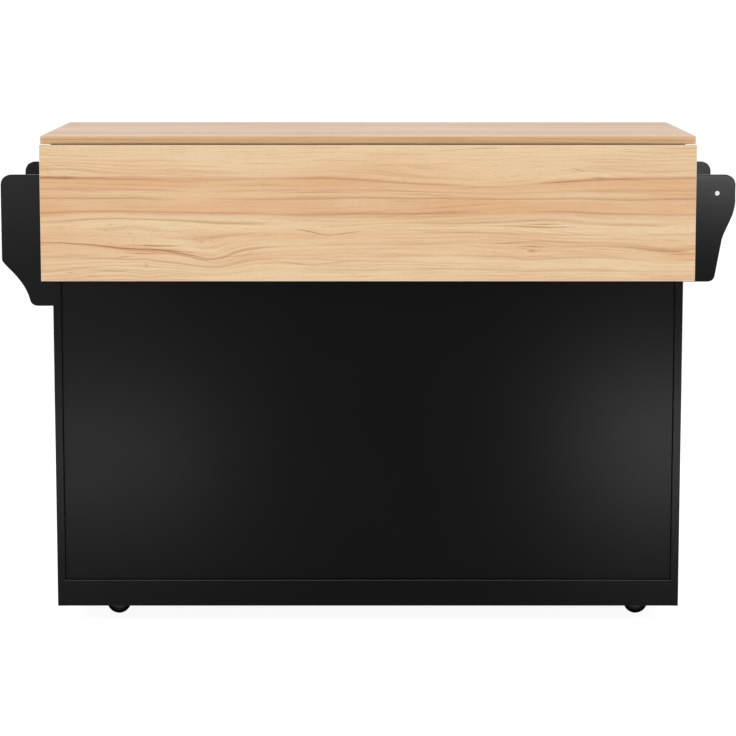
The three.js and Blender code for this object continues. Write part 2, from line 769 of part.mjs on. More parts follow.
function addLeaf(parent) {
  const fixed = groupAt(parent, 0, 0, 0);
  const leaf = groupAt(parent, 0, leafPinY, leafPinZ);
  const across = [-topLength / 2, topLength / 2];
  const panel = slab(across, [leafOutside, leafInside], [leafTop - leafReach, leafTop]);
  place(leaf, "drop_leaf", panel, wood);
  for (const [at, where] of [[-1, "left"], [0, "middle"], [1, "right"]]) {
    const x = at * (topLength / 2 - leafHingeInset);
    place(fixed, "leaf_hinge_" + where + "_fixed", fixedLeafHinge(x), blackened);
    place(leaf, "leaf_hinge_" + where + "_moving", movingLeafHinge(x), blackened);
  }
  for (const [side, where] of [[-1, "left"], [1, "right"]]) {
    const x = side * (topLength / 2 - stayInset);
    const stay = groupAt(parent, x, ...stayPivot);
    place(fixed, "stay_bracket_" + where, stayBracket(x), zinc);
    place(stay, "stay_arm_" + where, stayArm(x), zinc);
    place(leaf, "stay_track_" + where, stayTrack(x), zinc);
  }
}

// ---- Casters
const casterTop = bottomUnderside;
const forkCrownZ = 2 * wheelRadius + forkCrown;
const forkCrownUnder = forkCrownZ - forkTop;
const legInner = wheelWidth / 2 + forkSideGap;
const legOuter = legInner + forkSheet;

// Mounting plate with its ball race, king pin and pin head.
function casterPlate(x, y) {
  const plateZ = [casterTop - casterPlateSheet, casterTop];
  const sheet = slab(
    [x - casterPlateLength / 2, x + casterPlateLength / 2],
    [y - casterPlateWidth / 2, y + casterPlateWidth / 2],
    plateZ,
    0,
  );
  const raceFoot = forkCrownZ + runningGap;
  const headTop = forkCrownUnder - runningGap;
  const profile = [
    [0, headTop - kingHeadHeight],
    [kingHeadRadius - 1, headTop - kingHeadHeight],
    [kingHeadRadius, headTop - kingHeadHeight / 2],
    [kingHeadRadius, headTop],
    [kingPinRadius, headTop],
    [kingPinRadius, raceFoot],
    [raceRadius - 2, raceFoot],
    [raceRadius, raceFoot + 2],
    [raceRadius, plateZ[0] + 1],
    [0, plateZ[0] + 1],
  ];
  return join(sheet, turned("z", x, y, profile, 12));
}

// Folded fork: a crown plate with a hole for the king pin, two tapered legs and the riveted axle.
// A braked fork also has ears with the pedal's pin.
function casterFork(x, y, braked) {
  const back = casterTrail + axleBossRadius + 1;
  const crownShape = new THREE.Shape();
  crownShape.moveTo(x, y - legOuter);
  crownShape.lineTo(x + back, y - legOuter);
  crownShape.lineTo(x + back, y + legOuter);
  crownShape.lineTo(x, y + legOuter);
  crownShape.absarc(x, y, legOuter, Math.PI / 2, (3 * Math.PI) / 2, false);
  crownShape.holes.push(disc(x, y, kingPinRadius + runningGap, 12));
  const crown = plate("z", crownShape, forkCrownUnder, forkCrownZ, 0, 4);
  const axle = [x + casterTrail, wheelRadius];
  const legShape = new THREE.Shape();
  legShape.moveTo(x - 3, forkCrownZ);
  legShape.lineTo(x - 3, forkCrownUnder - 2);
  legShape.absarc(...axle, axleBossRadius, Math.PI, 2 * Math.PI, false);
  if (braked) {
    const ear = [x + casterTrail + pedalPinOut, wheelRadius + pedalPinRise];
    legShape.absarc(...ear, pedalPinRadius + 2.3, -Math.PI / 4, Math.PI / 2, false);
  }
  legShape.lineTo(x + back, forkCrownZ);
  const legs = [-1, 1].map((side) => {
    const [from, to] = side > 0 ? [legInner, legOuter] : [-legOuter, -legInner];
    return plate("y", legShape, grid(y + from), grid(y + to), 0, 4);
  });
  const shafts = [
    rod("y", ...axle, axleRadius, y - legOuter, y + legOuter, 10),
    rod("y", ...axle, axleHeadRadius, y - legOuter - axleHeadHeight, y - legInner, 8),
    rod("y", ...axle, axleHeadRadius, y + legInner, y + legOuter + axleHeadHeight, 8),
  ];
  if (braked) {
    const pin = [x + casterTrail + pedalPinOut, wheelRadius + pedalPinRise];
    shafts.push(rod("y", ...pin, pedalPinRadius, y - legOuter, y + legOuter, 8));
  }
  return join(crown, ...legs, ...shafts);
}

// Wheel with a rounded tread, a sunk web on each face and a hub bored for the axle.
function casterWheel(x, y) {
  const half = wheelWidth / 2;
  const bore = axleRadius + runningGap;
  const rim = wheelRadius - 6;
  const web = half - 4;
  const side = [
    [bore, half],
    [axleBossRadius, half],
    [axleBossRadius, web],
    [rim, web],
    [rim, half - 1],
    [wheelRadius - 2.5, half - 1],
    [wheelRadius, half - 4.5],
  ];
  const other = side.map(([radius, height]) => [radius, -height]).reverse();
  const profile = [...side, ...other, side[0]].map(([radius, height]) => [radius, height + y]);
  return turned("y", x + casterTrail, wheelRadius, profile.reverse(), 20);
}

// Foot pedal between the fork's ears: a bored barrel, a brake edge over the tread and a pad that
// stays low enough to turn under the cabinet's rail.
function brakePedal(x, y) {
  const pin = [x + casterTrail + pedalPinOut, wheelRadius + pedalPinRise];
  const at = (out, up) => [pin[0] + out, pin[1] + up];
  const shape = new THREE.Shape();
  shape.absarc(...pin, pedalBarrelRadius, -Math.PI / 10, Math.PI * 1.35, false);
  shape.lineTo(...at(0, -7));
  shape.lineTo(...at(2.2, -10.5));
  shape.lineTo(...at(6.5, -15.2));
  shape.lineTo(...at(25.6, -18.6));
  shape.lineTo(...at(26, -16));
  shape.lineTo(...at(7.5, -12.4));
  shape.lineTo(...at(5, -9.5));
  shape.holes.push(disc(...pin, pedalPinRadius + runningGap, 8));
  const half = legInner - runningGap;
  return plate("y", shape, y - half, y + half, 0, 5);
}

function addCasters(parent) {
  const rearY = bodyRear + casterFaceInset;
  const frontY = bodyFront - casterFaceInset;
  const corners = [
    ["rear_left", -1, rearY, false],
    ["rear_right", 1, rearY, false],
    ["front_left", -1, frontY, true],
    ["front_right", 1, frontY, true],
  ];
  for (const [where, side, y, braked] of corners) {
    const x = side * (bodyEnd - casterEndInset);
    const caster = groupAt(parent, x, y, 0);
    const wheel = groupAt(caster, x + casterTrail, y, wheelRadius);
    place(caster, "caster_plate_" + where, casterPlate(x, y), zinc);
    place(caster, "caster_fork_" + where, casterFork(x, y, braked), zinc);
    place(wheel, "caster_wheel_" + where, casterWheel(x, y), tyre);
    if (braked) place(caster, "brake_pedal_" + where, brakePedal(x, y), plastic);
  }
}

addCabinetBoards(island);
addSidePanels(island);
addPartitions(island);
addShelves(island);
addSpiceRack(island);
addTowelRack(island);
addLeaf(island);
addDoors(island);
addDrawers(island);
addCasters(island);

export default island;
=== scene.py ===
import math

import bmesh
import bpy
from mathutils import Matrix, Vector


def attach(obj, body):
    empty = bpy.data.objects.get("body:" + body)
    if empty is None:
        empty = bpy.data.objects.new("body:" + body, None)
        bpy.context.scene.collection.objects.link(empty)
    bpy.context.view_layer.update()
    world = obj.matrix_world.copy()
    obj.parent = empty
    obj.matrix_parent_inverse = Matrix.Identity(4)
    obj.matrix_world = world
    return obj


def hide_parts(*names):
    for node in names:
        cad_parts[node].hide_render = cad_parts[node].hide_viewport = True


# The finished look of a drop leaf kitchen island. X runs along the island (+X is the towel end),
# Y from the leaf side (-Y) to the door side (+Y), Z up. Sizes are written in millimetres, and each
# depth is measured from the worktop's rear edge, as on a drawing of the cabinet.
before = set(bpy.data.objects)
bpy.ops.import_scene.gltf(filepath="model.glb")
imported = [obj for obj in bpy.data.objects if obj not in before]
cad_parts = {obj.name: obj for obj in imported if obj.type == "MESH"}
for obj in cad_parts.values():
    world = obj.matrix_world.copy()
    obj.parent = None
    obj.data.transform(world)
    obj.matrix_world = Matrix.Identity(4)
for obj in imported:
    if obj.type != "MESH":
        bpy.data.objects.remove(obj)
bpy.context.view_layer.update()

MM = 0.001
REAR_EDGE = -243.75

# ---- Sizes that the details share with the solids
BOARD = 15
TOP_SURFACE = 932
BODY_END = 596
BODY_REAR, BODY_FRONT = 45, 435
BACK_PANEL_REAR = 53
RAIL_BOTTOM, RAIL_TOP = 28, 78
RAIL_HALF = BODY_END - BOARD + 1
PARTITION_INNER = 188.672
SHELF_UNDER = 491.25
FRONT_REAR, FRONT_FACE = 437, 452
FRONT_BOTTOM, FRONT_TOP = 68, 914
DOOR_NEAR, DOOR_FAR = 197.672, 595.5
DRAWERS = {"bottom_drawer": 68, "middle_drawer": 351, "top_drawer": 634}
DRAWER_HALF, DRAWER_FRONT_HEIGHT = 194.672, 280
DRAWER_BOX_INSIDE = 425
HANDLE_HALF, POST_SHIFT = 80, 64
DOOR_PIN_X, DOOR_PIN_DEPTH = 599, 436
DOOR_HINGE_LEVELS = (128, 884)
DOOR_HINGE_HALF, DOOR_KNUCKLE = 22, 2.76
LEAF_OUTSIDE, LEAF_TOP = -20.5, 915.5
LEAF_PIN_DEPTH, LEAF_PIN_LEVEL = -2.5, 914
LEAF_HINGES = {"left": -430, "middle": 0, "right": 430}
LEAF_HINGE_HALF = 32
# How much nearer the leaf's upper edge stands to the worktop than the solid's.
LEAF_GAP_CLOSED = 0.8
STAYS = {"left": -300, "right": 300}
RACK_TOP, RACK_REACH = 856.5, 95.5
TOWEL_BAR_X, TOWEL_BAR_LEVEL = 657, 822
TOWEL_BAR_RADIUS = 7
CASTERS = {
    "rear_left": (-502, 109),
    "rear_right": (502, 109),
    "front_left": (-502, 371),
    "front_right": (502, 371),
}
CASTER_PLATE_UNDER = 60.5
WHEEL_RADIUS, TRAIL = 23, 18


def spot(x, depth, z):
    """A point of the drawing as metres in the frame."""
    return Vector((x, depth + REAR_EDGE, z)) * MM


def linear(*shown):
    """A colour as a screen shows it, 0 to 255, as the light it stands for."""
    return tuple(((c / 255 + 0.055) / 1.055) ** 2.4 if c > 10 else c / 255 / 12.92 for c in shown)


def times(tone, part):
    """A paler or darker tone of a colour."""
    return tuple(min(1.0, c * part) for c in tone)


# ---- Finishes
class Wire:
    """A shader socket that arithmetic works on: each operator adds its Math node."""

    def __init__(self, finish, socket):
        self.finish, self.socket = finish, socket

    def math(self, operation, *terms):
        return self.finish.node("Math", {"operation": operation}, dict(enumerate(terms)))

    def __add__(self, other):
        return self.math("ADD", self, other)

    def __radd__(self, other):
        return self.math("ADD", other, self)

    def __sub__(self, other):
        return self.math("SUBTRACT", self, other)

    def __rsub__(self, other):
        return self.math("SUBTRACT", other, self)

    def __mul__(self, other):
        return self.math("MULTIPLY", self, other)

    def __rmul__(self, other):
        return self.math("MULTIPLY", other, self)

    def __truediv__(self, other):
        return self.math("DIVIDE", self, other)

    def __pow__(self, other):
        return self.math("POWER", self, other)

    def __abs__(self):
        return self.math("ABSOLUTE", self)


class Finish:
    """A procedural material. `node` adds any shader node, sets it up and returns its output."""

    def __init__(self, name, **uniform):
        self.material = bpy.data.materials.new(name)
        self.material.use_nodes = True
        self.tree = self.material.node_tree
        self.surface = self.tree.nodes["Principled BSDF"]
        for socket, value in uniform.items():
            self.paint(socket.replace("_", " "), value)

    def node(self, kind, settings=(), values=(), output=None):
        made = self.tree.nodes.new("ShaderNode" + kind)
        for key, value in dict(settings).items():
            if key == "color_ramp":
                self.set_ramp(made.color_ramp, *value)
            else:
                setattr(made, key, value)
        for key, value in dict(values).items():
            named = [s for s in made.inputs if s.enabled and s.name == key]
            self.feed(named[0] if named else made.inputs[key], value)
        free = [s for s in made.outputs if s.enabled]
        return Wire(self, free[0] if output is None else made.outputs[output])

    @staticmethod
    def set_ramp(ramp, interpolation, stops):
        ramp.interpolation = interpolation
        while len(ramp.elements) < len(stops):
            ramp.elements.new(1)
        for element, (position, shade) in zip(ramp.elements, stops):
            element.position = position
            element.color = (*shade, 1) if isinstance(shade, tuple) else (shade, shade, shade, 1)

    def feed(self, socket, value):
        if isinstance(value, Wire):
            self.tree.links.new(value.socket, socket)
        elif isinstance(value, tuple) and len(value) < len(socket.default_value):
            socket.default_value = (*value, 1)
        else:
            socket.default_value = value

    def paint(self, socket, value):
        self.feed(self.surface.inputs[socket], value)

    def split(self, vector):
        first = self.node("SeparateXYZ", values={0: vector})
        return [Wire(self, part) for part in first.socket.node.outputs]

    def position(self):
        return self.split(self.node("TexCoord", output="Object"))

    def facing(self):
        return self.split(self.node("TexCoord", output="Normal"))

    def noise(self, x, y, z, detail=2.0, roughness=0.5):
        at = self.node("CombineXYZ", values={0: x, 1: y, 2: z})
        values = {"Vector": at, "Scale": 1.0, "Detail": detail, "Roughness": roughness}
        return self.node("TexNoise", values=values)

    def soft(self, value, low, high):
        """0 below `low` and 1 above `high`, with an eased step between."""
        return self.node(
            "MapRange",
            {"interpolation_type": "SMOOTHSTEP"},
            {"Value": value, "From Min": low, "From Max": high},
        )

    def blend(self, factor, first, second, how="MIX"):
        return self.node(
            "Mix",
            {"data_type": "RGBA", "blend_type": how},
            {"Factor": factor, "A": first, "B": second},
        )

    def ramp(self, value, stops, interpolation="LINEAR"):
        return self.node("ValToRGB", {"color_ramp": (interpolation, stops)}, {"Fac": value})

    def hill(self, at, place, level, reach, rise, slope=0.0):
        """A round hill, 1 at its top, at a place on the board, as long and wide as its reaches,
        with its length turned down the slope. `at` holds the distances along and across, and 1."""
        off_along, off_across = (
            self.node("VectorMath", {"operation": "DOT_PRODUCT"}, {0: at, 1: weights}, "Value")
            for weights in (
                (1 / reach, 0, -place / reach),
                (-slope / rise, 1 / rise, (slope * place - level) / rise),
            )
        )
        square = off_along.math("MULTIPLY_ADD", off_along, off_along, off_across * off_across)
        return square.math("POWER", 1 / math.e, square)

    def relief(self, height, depth, strength):
        """Raises the surface by `height` (0 to 1) times `depth` metres."""
        values = {"Height": height, "Distance": depth, "Strength": strength}
        self.paint("Normal", self.node("Bump", values=values))

    def edges(self):
        """1 on the small eased faces between a board's broad sides, 0 on the sides."""
        x, y, z = (abs(part) for part in self.facing())
        return 1 - self.soft(x.math("MAXIMUM", x, y.math("MAXIMUM", y, z)), 0.78, 0.97)


# The print's width. Past it the print runs back.
PRINT_WIDTH = 0.253
# Zones of the print over its width, from its upper edge: 0 is the pale wood, 1 the warm.
WOOD_ZONES = [
    (0.0, 0.25), (0.09, 0.05), (0.17, 0.4), (0.2, 0.15), (0.26, 0.95), (0.37, 0.6), (0.45, 1.0),
    (0.51, 0.75), (0.55, 0.05), (0.61, 0.0), (0.66, 0.55), (0.72, 0.3), (0.79, 0.55), (0.85, 0.1),
    (1.0, 0.35),
]
# Long growth lines of the print: each darkens slowly and ends sharply.
WOOD_LINES = [
    (0.0, 0.0), (0.16, 0.0), (0.184, 0.35), (0.19, 0.0), (0.212, 0.0), (0.237, 0.95), (0.244, 0.15),
    (0.3, 0.0), (0.326, 0.5), (0.332, 0.05), (0.37, 0.1), (0.391, 0.9), (0.398, 0.15), (0.484, 0.1),
    (0.499, 1.0), (0.507, 0.2), (0.555, 0.05), (0.577, 0.9), (0.584, 0.0), (0.625, 0.0),
    (0.645, 0.6), (0.651, 0.0), (0.71, 0.05), (0.735, 0.75), (0.742, 0.0), (0.8, 0.05),
    (0.825, 0.65), (0.832, 0.0), (0.905, 0.0), (0.928, 0.5), (0.934, 0.0), (1.0, 0.1),
]
# Knots and swirls: place along and across, reach along and across, how far the growth lines are
# drawn together and how far they are shifted.
LEAF_KNOTS = [
    (0.304, 0.197, 0.034, 0.015, 0.8, 0.0),
    (0.330, 0.150, 0.080, 0.017, 0.7, 0.0),
    (0.415, 0.052, 0.045, 0.012, 0.5, -0.002),
    (-0.569, 0.051, 0.050, 0.012, 0.5, -0.002),
    (0.250, 0.068, 0.110, 0.026, 0.0, 0.012),
    (-0.350, 0.195, 0.150, 0.034, 0.0, 0.020),
    (-0.290, 0.214, 0.050, 0.026, 0.0, 0.018),
    (-0.440, 0.150, 0.120, 0.016, 0.5, -0.006),
    (0.569, 0.197, 0.070, 0.020, 0.3, 0.010),
    (-0.415, 0.226, 0.022, 0.018, 0.5, 0.0),
    (0.120, 0.060, 0.130, 0.022, 0.0, 0.010),
    (0.060, 0.106, 0.180, 0.018, 0.0, -0.004),
]
TOP_KNOTS = [
    (-0.380, 0.120, 0.060, 0.018, 0.7, 0.0),
    (0.210, 0.335, 0.070, 0.020, 0.7, 0.0),
    (0.470, 0.090, 0.120, 0.030, 0.0, 0.014),
    (-0.100, 0.420, 0.140, 0.035, 0.0, -0.016),
]
# Dark hearts and dark streaks: place along and across, reach along and across, depth of colour and
# slope.
LEAF_STREAKS = [
    (0.304, 0.197, 0.010, 0.0036, 0.6, 0.0),
    (0.304, 0.188, 0.034, 0.0016, 0.6, 0.0),
    (0.318, 0.206, 0.040, 0.0014, 0.4, -0.02),
    (0.270, 0.181, 0.060, 0.0012, 0.5, -0.05),
    (0.360, 0.180, 0.060, 0.0012, 0.5, 0.05),
    (0.428, 0.061, 0.018, 0.0036, 0.5, 0.0),
    (0.370, 0.067, 0.055, 0.0014, 0.6, -0.06),
    (0.480, 0.063, 0.040, 0.0012, 0.6, 0.04),
    (0.425, 0.048, 0.030, 0.0010, 0.5, 0.08),
    (0.210, 0.078, 0.070, 0.0012, 0.45, -0.03),
    (-0.560, 0.060, 0.018, 0.0034, 0.5, 0.0),
    (-0.600, 0.059, 0.036, 0.0014, 0.8, 0.0),
    (-0.545, 0.052, 0.024, 0.0012, 0.5, 0.10),
    (-0.505, 0.060, 0.045, 0.0010, 0.6, 0.02),
    (-0.590, 0.181, 0.050, 0.0012, 0.75, 0.05),
    (-0.510, 0.186, 0.060, 0.0012, 0.75, 0.09),
    (-0.440, 0.192, 0.045, 0.0014, 0.8, 0.06),
    (-0.395, 0.186, 0.050, 0.0014, 0.8, 0.02),
    (-0.375, 0.195, 0.050, 0.0014, 0.8, 0.10),
    (-0.345, 0.202, 0.045, 0.0014, 0.8, 0.16),
    (-0.420, 0.201, 0.035, 0.0012, 0.7, 0.04),
    (-0.455, 0.207, 0.022, 0.0012, 0.6, -0.06),
    (-0.315, 0.211, 0.030, 0.0012, 0.6, 0.20),
    (-0.240, 0.205, 0.060, 0.0012, 0.5, -0.10),
    (-0.413, 0.222, 0.006, 0.0060, 0.4, 0.0),
    (-0.520, 0.228, 0.060, 0.0010, 0.5, 0.03),
    (-0.480, 0.234, 0.050, 0.0010, 0.5, 0.05),
    (0.585, 0.202, 0.035, 0.0018, 0.6, 0.02),
    (0.560, 0.197, 0.050, 0.0012, 0.5, 0.05),
    (0.520, 0.192, 0.060, 0.0010, 0.5, 0.08),
    (0.590, 0.212, 0.030, 0.0010, 0.4, 0.0),
    (0.330, 0.146, 0.045, 0.0012, 0.55, 0.0),
    (0.352, 0.152, 0.050, 0.0012, 0.5, 0.02),
    (0.300, 0.139, 0.060, 0.0010, 0.5, -0.03),
    (-0.104, 0.161, 0.032, 0.0014, 0.65, 0.20),
    (-0.042, 0.163, 0.036, 0.0014, 0.6, -0.14),
    (0.120, 0.092, 0.090, 0.0010, 0.5, 0.04),
    (0.060, 0.084, 0.100, 0.0010, 0.5, 0.05),
    (-0.140, 0.219, 0.050, 0.0010, 0.5, 0.12),
    (-0.055, 0.217, 0.050, 0.0010, 0.5, -0.13),
    (0.080, 0.222, 0.130, 0.0010, 0.45, 0.01),
    (-0.585, 0.032, 0.040, 0.0009, 0.4, 0.33),
    (-0.190, 0.074, 0.090, 0.0012, 0.5, 0.02),
    (-0.100, 0.087, 0.100, 0.0012, 0.55, 0.0),
    (0.222, 0.0050, 0.030, 0.0011, 0.5, -0.02),
    (0.160, 0.0090, 0.050, 0.0010, 0.4, -0.08),
    (0.392, 0.046, 0.032, 0.0009, 0.45, 0.27),
    (0.300, 0.151, 0.050, 0.0012, 0.5, 0.03),
    (0.370, 0.162, 0.060, 0.0009, 0.45, 0.12),
    (-0.555, 0.237, 0.010, 0.0012, 0.5, 0.10),
    (-0.515, 0.243, 0.016, 0.0012, 0.5, 0.05),
    (0.560, 0.176, 0.040, 0.0010, 0.45, 0.06),
    (0.545, 0.166, 0.050, 0.0009, 0.4, 0.03),
    (0.500, 0.238, 0.035, 0.0010, 0.4, 0.0),
    (0.300, 0.240, 0.030, 0.0010, 0.35, 0.0),
    (0.620, 0.185, 0.030, 0.0012, 0.4, -0.04),
]
TOP_STREAKS = [
    (-0.380, 0.120, 0.016, 0.0050, 0.6, 0.0),
    (0.210, 0.335, 0.016, 0.0050, 0.55, 0.0),
    (-0.330, 0.128, 0.060, 0.0020, 0.4, 0.02),
    (0.260, 0.345, 0.070, 0.0020, 0.4, -0.02),
    (0.180, 0.150, 0.200, 0.0040, 0.4, 0.01),
    (-0.120, 0.250, 0.240, 0.0050, 0.4, -0.01),
    (0.430, 0.390, 0.160, 0.0040, 0.4, 0.0),
    (-0.440, 0.410, 0.150, 0.0040, 0.35, 0.0),
]
# Broad patches, warmer than the board round them or, below 0, paler: as above, with the warmth in
# the fifth place.
LEAF_PATCHES = [
    (0.120, 0.055, 0.260, 0.030, 0.35, 0.0),
    (0.020, 0.117, 0.140, 0.015, -0.35, 0.0),
    (0.430, 0.096, 0.130, 0.010, -0.4, 0.0),
    (0.325, 0.136, 0.075, 0.012, 0.35, 0.0),
    (-0.130, 0.166, 0.110, 0.011, 0.4, 0.0),
    (-0.420, 0.232, 0.120, 0.018, -0.4, 0.0),
    (-0.325, 0.190, 0.060, 0.006, -0.5, 0.2),
    (-0.200, 0.188, 0.035, 0.007, -0.4, 0.0),
    (0.400, 0.172, 0.060, 0.007, -0.35, 0.0),
    (0.585, 0.205, 0.045, 0.016, 0.35, 0.0),
    (-0.600, 0.150, 0.060, 0.045, 0.35, 0.0),
    (-0.440, 0.088, 0.100, 0.008, -0.35, 0.0),
    (-0.440, 0.193, 0.075, 0.007, 0.5, 0.08),
    (-0.557, 0.047, 0.024, 0.005, -0.5, 0.2),
    (0.425, 0.052, 0.022, 0.005, -0.5, 0.15),
    (-0.030, 0.022, 0.280, 0.020, 0.3, 0.0),
    (-0.340, 0.160, 0.100, 0.008, 0.35, 0.0),
    (0.585, 0.145, 0.040, 0.008, 0.45, 0.0),
    (0.190, 0.232, 0.060, 0.008, -0.35, 0.0),
]
TOP_PATCHES = [
    # The first three run across the worktop's whole depth and are painted reflection: paler bands
    # where the top shows a glossy reflection, a warmer one between them.
    (-0.450, 0.220, 0.140, 0.300, -0.3, 0.0),
    (-0.140, 0.200, 0.100, 0.300, 0.2, 0.0),
    (0.150, 0.200, 0.170, 0.300, -0.3, 0.0),
    (0.120, 0.130, 0.240, 0.020, 0.5, 0.0),
    (-0.180, 0.330, 0.260, 0.026, 0.45, 0.0),
    (0.400, 0.400, 0.200, 0.030, 0.4, 0.0),
    (-0.450, 0.450, 0.200, 0.020, 0.4, 0.0),
]


def grain_lines(wood, along, across, seed, knots):
    """The distance across the board as its growth lines see it: wavy, and drawn round the knots."""
    drift = wood.noise(along * 1.9 + seed, across * 6, seed) - 0.5
    wander = wood.noise(along * 8 + seed, across * 26, seed + 3) - 0.5
    line = across + drift * 0.024 + wander * 0.0060
    at = wood.node("CombineXYZ", values={0: along, 1: across, 2: 1})
    for place, level, reach, rise, pinch, shift in knots:
        pull = (across - level) * pinch + shift if pinch else shift
        line = line - wood.hill(at, place, level, reach, rise) * pull
    return line


def wood_print(name, width, depth, edge, knots, streaks, patches, seed, painted_sheen=0.0):
    """Pale wood with its grain along X. `width` and `depth` give, of (x, y, z), the distance over
    the board's width from its upper or rear edge, and the distance into the board. `edge` is the
    axis that its long narrow edges face, which are taped with a warmer strip."""
    wood = Finish(name, IOR=1.5)
    x, y, z = wood.position()
    facing = wood.facing()
    end, tape = (wood.soft(abs(facing[axis]), 0.7, 0.9) for axis in (0, edge))
    over, into = width(x, y, z), depth(x, y, z)
    along = x + (over - x) * end
    board = over + into * 0.7
    across = board + (into * 0.8 + 0.06 - board) * end + (into * 2.2 + 0.132 - board) * tape
    line = grain_lines(wood, along, across, seed, knots)
    ragged_across = across + (wood.noise(along * 14 + seed, across * 60, seed + 21) - 0.5) * 0.005
    at = wood.node("CombineXYZ", values={0: along, 1: ragged_across, 2: 1})
    scar = warmth = 0.0
    for place, level, reach, rise, dark, slope in streaks:
        hill = wood.hill(at, place, level, reach, rise, slope)
        scar = hill.math("MULTIPLY_ADD", hill, dark, scar)
    for place, level, reach, rise, warm, slope in patches:
        hill = wood.hill(at, place, level, reach, rise, slope)
        warmth = hill.math("MULTIPLY_ADD", hill, warm, warmth)
    folded = line.math("PINGPONG", line, PRINT_WIDTH) / PRINT_WIDTH
    patch = wood.noise(along * 2.3 + seed, line * 15, seed + 7, 3.0)
    ragged = wood.noise(along * 9, line * 260, seed + 9, 3.0, 0.6)
    zone = wood.ramp(folded, WOOD_ZONES, "B_SPLINE") * 0.9 + (patch - 0.5) * 1.3
    zone = zone + (ragged - 0.5) * 0.5 + warmth
    strength = wood.noise(along * 4.0, line * 22, seed + 11, 1.0)
    growth = wood.ramp(folded, WOOD_LINES) * wood.soft(strength, 0.28, 0.56)
    phase = line * 118 + (wood.noise(along * 1.4, line * 9, seed + 17) - 0.5) * 9
    fine = (phase.math("FRACT", phase) ** 4) * wood.soft(patch, 0.42, 0.62)
    long_fibres = wood.soft(wood.noise(along * 6, line * 300, into * 300 + 2, 3.0, 0.6), 0.52, 0.7)
    short_fibres = wood.noise(along * 24, line * 620, into * 620, 3.0, 0.6)
    silk = wood.noise(along * 60, line * 1700, into * 1700, 2.0, 0.5)
    pores = wood.soft(wood.noise(along * 95, line * 1500, into * 1500 + 5, 0.0), 0.66, 0.74)
    shade = wood.blend(wood.soft(zone, 0.0, 1.0), linear(236, 206, 165), linear(229, 179, 131))
    # The broad faces are tinted towards the pale pink of a glossy reflection at a low angle: a
    # painted reflection.
    if painted_sheen:
        shade = wood.blend(painted_sheen * (1 - end - tape), shade, linear(226, 196, 190))
    shade = wood.blend(tape * 0.45, shade, linear(226, 178, 130))
    shade = wood.blend(growth * 0.8 + fine * 0.42, shade, linear(192, 133, 89))
    shade = wood.blend(long_fibres * 0.34, shade, linear(196, 146, 103))
    shade = wood.blend(wood.soft(short_fibres, 0.5, 0.78) * 0.35, shade, linear(196, 148, 105))
    shade = wood.blend(wood.soft(silk, 0.42, 0.15) * 0.35, shade, linear(240, 217, 182))
    shade = wood.blend(wood.soft(scar * (0.55 + ragged), 0.05, 0.95), shade, linear(176, 118, 78))
    shade = wood.blend(pores * 0.22, shade, linear(160, 112, 76))
    # A highlight painted on the eased edges, where they catch the light.
    shade = wood.blend(wood.edges() * 0.55, shade, linear(240, 218, 190))
    wood.paint("Base Color", shade)
    wood.paint("Roughness", 0.36 + short_fibres * 0.12 + pores * 0.15)
    wood.relief(silk * 0.5 - pores, 0.00006, 0.6)
    return wood.material


def satin_paint(name, metal=None, metal_tone=(0.5, 0.5, 0.51), highlight_tone=0.0):
    """Black satin paint on board, with a fine orange peel and slightly paler, harder edges, partly
    worn paint and partly a painted highlight. `metal` gives, of (x, y, z), where a fitting of the
    same solid stands out of the board and is bare metal. The last argument is the tone of a
    highlight painted on an upper eased edge, where it catches the light from above."""
    paint = Finish(name, Specular_IOR_Level=0.07)
    x, y, z = paint.position()
    mottle = paint.noise(x * 7, y * 7, z * 7, 3.0)
    peel = paint.noise(x * 620, y * 620, z * 620, 1.0)
    dust_and_highlight = paint.noise(x * 90, y * 90, z * 90, 4.0, 0.7)
    # Paler edges: partly paint worn thin, partly a highlight painted where the eased edges catch
    # the light.
    rim_wear_and_highlight = paint.edges() * paint.soft(dust_and_highlight, 0.3, 0.7)
    shade = paint.blend(mottle, (0.0017, 0.0017, 0.0018), (0.0029, 0.0029, 0.0030))
    shade = paint.blend(rim_wear_and_highlight * 0.7, shade, (0.020, 0.020, 0.021))
    # A highlight painted on the upper eased edges, where they catch the light from above, broken up
    # by the noise.
    if highlight_tone:
        up = paint.facing()[2]
        painted_edge_highlight = paint.soft(up, 0.3, 0.55) * (1 - 0.75 * paint.soft(up, 0.93, 0.99))
        shade = paint.blend(painted_edge_highlight * (0.7 + dust_and_highlight * 0.6), shade, (highlight_tone,) * 3)
    rough = 0.31 + mottle * 0.05 + dust_and_highlight * 0.03 + rim_wear_and_highlight * 0.06
    if metal is None:
        paint.paint("Base Color", shade)
        paint.paint("Roughness", rough)
    else:
        bare = metal(x, y, z)
        paint.paint("Base Color", paint.blend(bare, shade, metal_tone))
        paint.paint("Roughness", rough - bare * 0.1)
        paint.paint("Metallic", bare)
    paint.relief(peel + dust_and_highlight * 0.4, 0.00004, 0.35)
    return paint.material


